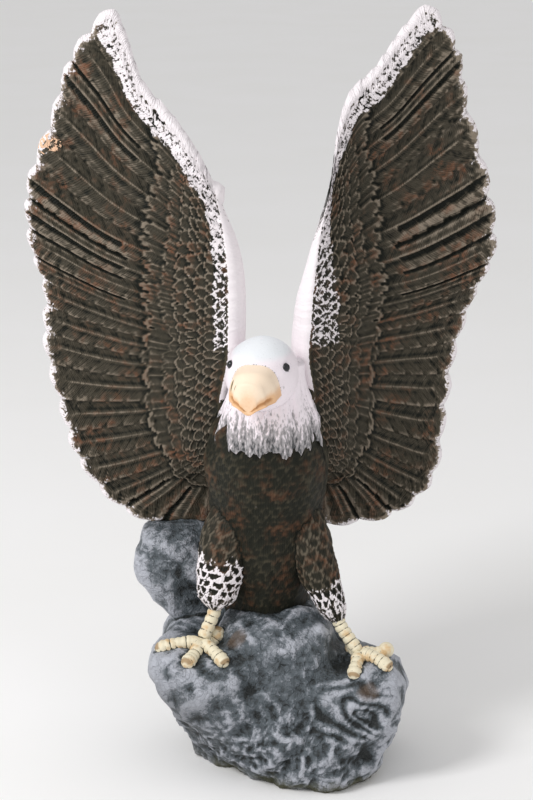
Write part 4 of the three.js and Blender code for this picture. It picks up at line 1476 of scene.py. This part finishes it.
@dataclass(frozen=True)
class PlumagePaint:
    """Brown feathers on cast stone: a near-black wash in the cuts and a grey-brown dry brush on
    the ridges, rust here and there, and chalk white brushed over edges and tips. The wash and the
    dry brush follow the measured relief, so they also paint shade into hollows and creases and
    highlight onto bulges."""

    recess: str = "#0C0F07"
    down: str = "#17180E"
    down_ridge: str = "#3F3A2C"
    body: str = "#403B30"
    ridge: str = "#8C8071"
    rust: str = "#74482F"
    white: str = "#F4EDF0"
    bare: str = "#EDC3A2"
    barb_spacing: float = 3.0

    def build(self) -> None:
        """Builds the material."""
        r = Recipe(Look.PLUMAGE.name.lower())
        near, wide, furrow = r.layer("near"), r.layer("wide"), r.layer("furrow")
        fine, cloudy, broad = r.grain(2.2, 2.0), r.grain(9.0), r.grain(34.0)
        wander = r.math("MULTIPLY", cloudy, 11.0)
        turn = r.math("MULTIPLY_ADD", r.layer("barb"), 2 * math.pi / self.barb_spacing, wander)
        strokes = r.strokes(2.2, 13.0)
        barbs = r.math("MULTIPLY_ADD", strokes, 3.8, r.math("MULTIPLY_ADD", r.math("SINE", turn), 0.45, -1.9))
        barbs = r.math("MULTIPLY", barbs, r.math("MULTIPLY_ADD", furrow, 0.75, 0.25))
        lobes = r.lobes(furrow)
        # Painted shade and highlight: the measured relief darkens cuts, creases and broad hollows and
        # lightens ridges and bulges, partly the statue's own wash and dry brush and partly painted light.
        height = r.math("MULTIPLY_ADD", near, 1.25, r.math("MULTIPLY", wide, 0.12))
        height = r.math("MULTIPLY_ADD", barbs, 0.4, height)
        height = r.math("ADD", height, lobes)
        height = r.math("ADD", height, r.math("MULTIPLY_ADD", cloudy, 1.0, -0.5))
        vane = r.ramp(furrow, 0.2, 0.75)
        colour = r.mix(r.ramp(height, -1.3, 0.0), self.recess, r.mix(vane, self.down, self.body))
        colour = r.mix(r.ramp(height, 0.0, 1.5), colour, r.mix(vane, self.down_ridge, self.ridge))
        warm = r.math("MULTIPLY_ADD", r.layer("tone"), 0.05, broad)
        rusty = r.math("MULTIPLY", r.ramp(warm, 0.46, 0.68), r.ramp(height, -0.6, 0.4))
        rusty = r.math("MULTIPLY", rusty, r.math("MULTIPLY_ADD", vane, 0.4, 0.4))
        colour = r.mix(r.math("MULTIPLY", rusty, r.ramp(cloudy, 0.3, 0.7)), colour, self.rust)
        brush = r.math("MULTIPLY_ADD", near, 0.35, r.math("MULTIPLY_ADD", fine, 0.9, -0.45))
        brush = r.math("ADD", brush, r.math("MULTIPLY_ADD", strokes, 1.5, -0.78))
        brush = r.math("ADD", brush, r.math("MULTIPLY_ADD", r.grain(4.5, 4.0), 2.6, -1.35))
        brush = r.math("ADD", brush, r.math("MULTIPLY_ADD", r.layer("white"), 1.9, -0.92))
        chalk = r.ramp(brush, 0.0, 0.42)
        colour = r.mix(chalk, colour, self.white)
        chip = r.math("MULTIPLY", r.layer("stain"), r.ramp(r.grain(5.0), 0.4, 0.6))
        colour = r.mix(r.math("GREATER_THAN", chip, 0.35), colour, self.bare)
        rough = r.math("MULTIPLY_ADD", chalk, 0.14, r.math("MULTIPLY_ADD", cloudy, 0.16, 0.52))
        relief = r.math("ADD", r.math("MULTIPLY", barbs, 0.7), r.math("MULTIPLY", fine, 0.5))
        relief = r.math("MULTIPLY_ADD", lobes, 0.9, relief)
        r.finish(colour, rough, relief, 0.9, Specular_IOR_Level=0.22)


@dataclass(frozen=True)
class HeadPaint:
    """Chalk-white paint on the head, thin enough over the neck's cuts to show the dark wash, which
    is partly painted shade there. The crown takes a cooler grey as painted shade, and the
    underside of the head shows a little greyer as painted shade.
    """

    white: str = "#F6ECF2"
    crown_shade: str = "#E9ECF0"
    grey: str = "#A5A1A3"
    wash_and_shade: str = "#34383B"

    def build(self) -> None:
        """Builds the material."""
        r = Recipe(Look.HEAD.name.lower())
        near = r.layer("near")
        strands = r.grain(2.8, 4.0, (1.0, 1.0, 0.42))
        fine = r.grain(1.8, 3.0)
        cover = r.math("MULTIPLY_ADD", r.layer("white"), 1.9, -0.75)
        cover = r.math("ADD", cover, r.math("MULTIPLY", near, 0.45))
        cover = r.math("ADD", cover, r.math("MULTIPLY_ADD", strands, 3.4, -1.7))
        # Painted shade: a cooler grey over the crown.
        crown_shade = r.math("MULTIPLY_ADD", r.grain(26.0), 0.5, r.math("ADD", r.layer("tone"), -0.25))
        colour = r.mix(r.ramp(crown_shade, 0.1, 0.8), self.white, self.crown_shade)
        # Painted shade: the grey and the wash colour show where the white is thin over the cuts, partly the
        # statue's own wash and partly painted shade.
        colour = r.mix(r.ramp(cover, 0.0, 0.8), self.grey, colour)
        colour = r.mix(r.ramp(cover, -1.0, 0.1), self.wash_and_shade, colour)
        rough = r.math("MULTIPLY_ADD", fine, 0.2, 0.45)
        relief = r.math("MULTIPLY_ADD", r.math("MULTIPLY", strands, r.layer("furrow")), 2.6, fine)
        r.finish(colour, rough, relief, 0.55)


@dataclass(frozen=True)
class BeakPaint:
    """Smooth cream paint that deepens to orange at the hook and the lower beak. The deeper orange
    under the beak's top, on the lower beak and along the mouth's seam, and the dark of the
    nostril slits, are partly the beak's own colour and partly painted shade.
    """

    cream: str = "#FBE5CC"
    orange: str = "#EDBE90"
    seam: str = "#BE8550"
    nostril: str = "#7C6A42"

    def build(self) -> None:
        """Builds the material."""
        r = Recipe(Look.BEAK.name.lower())
        fine = r.grain(3.0)
        # Painted shade: a low tone paints the underside, the lower beak and the mouth's seam deeper orange,
        # and the stain layer paints the nostril slits dark, partly the beak's own colour and partly painted
        # shade.
        low = r.math("MULTIPLY_ADD", fine, 0.3, r.math("MULTIPLY_ADD", r.layer("tone"), -1.0, 0.8))
        colour = r.mix(r.ramp(low, 0.1, 1.0), self.cream, self.orange)
        colour = r.mix(r.ramp(low, 1.15, 1.75), colour, self.seam)
        colour = r.mix(r.ramp(r.layer("stain"), 0.25, 0.6), colour, self.nostril)
        r.finish(colour, r.math("MULTIPLY_ADD", fine, 0.15, 0.38), fine, 0.15)


@dataclass(frozen=True)
class FootPaint:
    """Cream paint on shanks and toes, worn over a dark wash that stays between the rings, which is
    partly the statue's own wash and partly painted shade.
    """

    cream: str = "#E9DFC4"
    ochre: str = "#D2A668"
    wash_and_shade: str = "#38341F"
    nail: str = "#A88E6C"

    def build(self) -> None:
        """Builds the material."""
        r = Recipe(Look.FOOT.name.lower())
        fine = r.grain(3.2, 4.0)
        rings = r.math("MULTIPLY_ADD", r.layer("tone"), 1.4, -0.9)
        # Painted shade: the wash colour fills the cuts and the gaps between the rings, partly the statue's
        # own wash and partly painted shade.
        height = r.math("MULTIPLY_ADD", r.layer("near"), 0.8, r.math("MULTIPLY_ADD", fine, 2.4, -1.2))
        height = r.math("ADD", height, rings)
        colour = r.mix(r.math("MULTIPLY", r.ramp(r.grain(14.0), 0.5, 0.7), 0.7), self.cream, self.ochre)
        colour = r.mix(r.ramp(r.layer("stain"), 0.4, 0.9), colour, self.nail)
        colour = r.mix(r.ramp(height, -0.6, 0.1), self.wash_and_shade, colour)
        r.finish(colour, r.math("MULTIPLY_ADD", fine, 0.2, 0.5), fine, 0.5)


@dataclass(frozen=True)
class RockPaint:
    """Slate-grey stone paint: blue-grey over a black wash, with pale grey brushed on the ridges,
    and earth and green growth along the bottom edge. The wash and the pale grey follow the
    measured relief, so they also paint shade into hollows and highlight onto bulges, and the
    lower part of the side on the eagle's right is painted darker as painted shade."""

    wash_and_shade: str = "#171C1D"
    slate: str = "#555D63"
    pale: str = "#B4B7C0"
    earth: str = "#6A5748"
    moss: str = "#45452A"

    def build(self) -> None:
        """Builds the material."""
        r = Recipe(Look.ROCK.name.lower())
        near, wide = r.layer("near"), r.layer("wide")
        fine, cloudy, broad = r.grain(2.0, 4.0), r.grain(10.0, 6.0), r.grain(60.0)
        cracks = r.math("ABSOLUTE", r.math("MULTIPLY_ADD", r.grain(13.0, 6.0), 2.0, -1.0))
        veins = r.math("ABSOLUTE", r.math("MULTIPLY_ADD", r.grain(10.5, 6.0), 2.0, -1.0))
        lines = r.math("SUBTRACT", r.ramp(cracks, 0.0, 0.12), r.ramp(veins, 0.0, 0.1))
        turn = r.math("ABSOLUTE", r.math("SINE", r.math("MULTIPLY", r.layer("barb"), math.pi / LOOP_SPACING)))
        loops = r.math("MULTIPLY", r.math("MULTIPLY_ADD", turn, 2.2, -1.5), r.layer("furrow"))
        # Painted shade and highlight: the measured relief darkens cuts and broad hollows towards the wash
        # colour and brushes pale grey onto ridges and bulges, partly the statue's own paint and partly
        # painted light.
        height = r.math("MULTIPLY_ADD", near, 1.45, r.math("MULTIPLY", wide, 0.07))
        height = r.math("ADD", loops, height)
        height = r.math("ADD", height, r.math("MULTIPLY_ADD", cloudy, 1.5, -0.85))
        height = r.math("ADD", height, r.math("MULTIPLY_ADD", fine, 1.2, -0.6))
        height = r.math("MULTIPLY_ADD", lines, 0.6, height)
        colour = r.mix(r.ramp(height, -1.7, 0.1), self.wash_and_shade, self.slate)
        colour = r.mix(r.ramp(height, -0.1, 2.0), colour, self.pale)
        colour = r.mix(r.math("MULTIPLY", r.ramp(r.layer("stain"), 0.3, 0.8), 0.6), colour, self.earth)
        # Painted shade: the lower part of the rock's side towards -X, on the eagle's right, is painted
        # half-way to the wash colour.
        where = r.add("ShaderNodeTexCoord").outputs["Object"]
        aside, _, up = r.add("ShaderNodeSeparateXYZ", {}, Vector=where).outputs
        painted_side_shade = r.math("MULTIPLY", r.ramp(aside, -0.04, -0.13), r.ramp(up, 0.17, 0.1))
        colour = r.mix(r.math("MULTIPLY", painted_side_shade, 0.5), colour, self.wash_and_shade)
        damp = r.math("MULTIPLY_ADD", cloudy, 0.03, up)
        green = r.math("MULTIPLY", r.ramp(damp, 0.036, 0.018), r.ramp(broad, 0.25, 0.5))
        colour = r.mix(green, colour, self.moss)
        rough = r.math("MULTIPLY_ADD", cloudy, 0.25, 0.38)
        relief = r.math("MULTIPLY_ADD", lines, 0.5, r.math("MULTIPLY_ADD", cloudy, 1.6, fine))
        r.finish(colour, rough, r.math("MULTIPLY_ADD", loops, 0.7, relief), 1.5)


@dataclass(frozen=True)
class EyePaint:
    """Gloss black enamel of the eyes."""

    black: str = "#141417"
    sheen: str = "#26262A"

    def build(self) -> None:
        """Builds the material."""
        r = Recipe(Look.EYE.name.lower())
        fine = r.grain(1.5)
        colour = r.mix(r.ramp(fine, 0.3, 0.8), self.black, self.sheen)
        r.finish(colour, r.math("MULTIPLY_ADD", fine, 0.1, 0.15), fine, 0.03)


# The studio


@dataclass(frozen=True)
class Studio:
    """Pale floor, soft light and a camera that stands where the photograph was taken.

    Args:
        distance: From the camera to its target.
        elevation: Of the camera over the horizon, in degrees.
        target: Height of the target.
        focal: Focal length, as a share of the picture's height.
        film: Height of the camera's film in millimetres.
        floor_reach: Half the width of the floor.
        floor_colours: The two colours of the floor's mottle.
    """

    distance: float = 2.6
    elevation: float = 16.0
    target: float = 0.48
    focal: float = 2.6
    film: float = 36.0
    floor_reach: float = 40.0
    floor_colours: tuple[str, str] = ("#FAF9F8", "#FCFBFB")

    def camera(self) -> None:
        """Sets up the scene's camera."""
        data = bpy.data.cameras.new("camera")
        data.sensor_fit, data.sensor_height = "VERTICAL", self.film
        data.lens = self.focal * self.film
        tilt = math.radians(self.elevation)
        eye = Vector((0, -self.distance * math.cos(tilt), self.target + self.distance * math.sin(tilt)))
        camera = bpy.data.objects.new("camera", data)
        camera.location = eye
        camera.rotation_euler = (Vector((0, 0, self.target)) - eye).to_track_quat("-Z", "Y").to_euler()
        bpy.context.scene.collection.objects.link(camera)
        bpy.context.scene.camera = camera

    def lamp(self, name: str, place: tuple[float, float, float], power: float, size: float) -> None:
        """Adds a soft lamp that points at the statue."""
        data = bpy.data.lights.new(name, "AREA")
        data.energy, data.size = power, size
        lamp = bpy.data.objects.new(name, data)
        lamp.location = place
        aim = Vector((0, 0, self.target)) - Vector(place)
        lamp.rotation_euler = aim.to_track_quat("-Z", "Y").to_euler()
        bpy.context.scene.collection.objects.link(lamp)

    def floor(self) -> None:
        """Adds the floor: a wide pale sheet with a trace of mottle."""
        r = Recipe("floor")
        grain = r.grain(400.0)
        colour = r.mix(r.ramp(grain, 0.2, 0.8), *self.floor_colours)
        r.finish(colour, r.math("MULTIPLY_ADD", grain, 0.1, 0.85), grain, 0.2, Specular_IOR_Level=0.2)
        mesh = bpy.data.meshes.new("floor")
        reach = self.floor_reach
        corners = [(-reach, -reach, 0), (reach, -reach, 0), (reach, reach, 0), (-reach, reach, 0)]
        mesh.from_pydata(corners, [], [(0, 1, 2, 3)])
        mesh.materials.append(r.material)
        floor = bpy.data.objects.new("floor", mesh)
        bpy.context.scene.collection.objects.link(floor)
        floor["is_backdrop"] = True

    def set_up(self) -> None:
        """Sets up everything round the statue."""
        world = bpy.data.worlds.new("studio")
        world.use_nodes = True
        sky = world.node_tree.nodes["Background"].inputs
        sky["Color"].default_value, sky["Strength"].default_value = linear("#FFFFFF"), 0.66
        bpy.context.scene.world = world
        bpy.context.scene.view_settings.view_transform = "Standard"
        self.lamp("key", (-2.2, -1.5, 2.6), 62.0, 1.0)
        self.lamp("fill", (1.8, -1.9, 1.2), 5.0, 1.6)
        self.floor()
        self.camera()


@dataclass
class Statue:
    """The whole casting."""

    def forms(self) -> list[Form]:
        """Every form of the statue, each set out in full."""
        rock = Rock()
        right = Leg(
            "right", foot=(-0.25 * ROCK_WIDTH, -0.26 * ROCK_DEPTH),
            hip=(-32, 0, 204), knee=(-56, -36, 105), hock=(-66, -46, 44),
            girth=((0, 22), (0.35, 33), (0.55, 30), (0.8, 25), (1, 13)),
            toes=((-88, 60), (-26, 46), (42, 48), (128, 30)), rock=rock, pale=0.4,
        )
        left = Leg(
            "left", foot=(0.36 * ROCK_WIDTH, -0.26 * ROCK_DEPTH),
            hip=(28, 0, 204), knee=(60, -34, 108), hock=(93, -46, 26),
            girth=((0, 22), (0.35, 30), (0.55, 26), (0.8, 19), (1, 11)),
            toes=((-14, 38), (56, 48), (96, 38), (200, 32)), rock=rock, pale=0.62, knob=2,
        )
        right_wing = Wing(
            "right", -1, 0.3, (30.0, 22.0), 15.0,
            ((62, 26, 566), (51, 22, 516), (46, 18, 462), (46, 14, 408),
             (48, 12, 364), (58, 18, 312), (60, 32, 254), (58, 44, 216)),
            ((62, 26, 566), (86, 32, 606), (114, 42, 644),
             (154, 54, 690), (172, 66, 738), (190, 76, 782)),
            ((190, 76, 782), (237, 88, 722), (266, 98, 640), (298, 106, 556),
             (297, 108, 482), (280, 108, 424), (281, 106, 356), (262, 102, 268),
             (237, 96, 196), (180, 88, 136), (80, 74, 112)),
        )
        left_wing = Wing(
            "left", 1, 0.2, (26.0, 42.0), 9.0,
            ((78, 26, 572), (66, 22, 520), (58, 18, 460), (54, 14, 412),
             (52, 12, 366), (60, 18, 312), (62, 32, 254), (60, 44, 216)),
            ((78, 26, 572), (88, 34, 630), (104, 44, 676),
             (134, 54, 706), (160, 64, 742), (196, 76, 786)),
            ((196, 76, 786), (230, 84, 736), (246, 94, 664), (276, 104, 560),
             (286, 108, 474), (260, 106, 414), (238, 104, 344), (227, 100, 262),
             (212, 94, 176), (162, 86, 132), (76, 74, 122)),
        )
        made = [rock.form(), Outcrop(rock).form(), Trunk().form(), Ruff().form(), Tail().form()]
        made += [*Head().forms(), *right.forms(), *left.forms(), right_wing.form(), left_wing.form()]
        for form in made:
            log.info("%s: %d triangles", form.name, len(form.faces))
        return made

    def build(self, low: Array, high: Array) -> bpy.types.Object:
        """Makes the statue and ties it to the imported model.

        Args:
            low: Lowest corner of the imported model's box, in metres.
            high: Its highest corner.

        Returns:
            The finished piece.
        """
        for paint in (PlumagePaint(), HeadPaint(), BeakPaint(), FootPaint(), RockPaint(), EyePaint()):
            paint.build()
        piece = fuse(self.forms(), "eagle_statue")
        casting = Casting(piece.data)
        casting.mend_seams()
        casting.measure()
        casting.hold_in(low, high)
        piece.data.shade_smooth()
        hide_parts(NODE)
        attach(piece, "root")
        triangles = len(piece.data.loops) - 2 * len(piece.data.polygons)
        log.info("%s: %d corners, %d triangles", piece.name, casting.count, triangles)
        return piece


def main() -> None:
    solid = [list(map(float, corner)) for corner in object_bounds()]
    Statue().build(*map(np.array, solid))
    Studio().set_up()


if __name__ == "__main__":
    main()
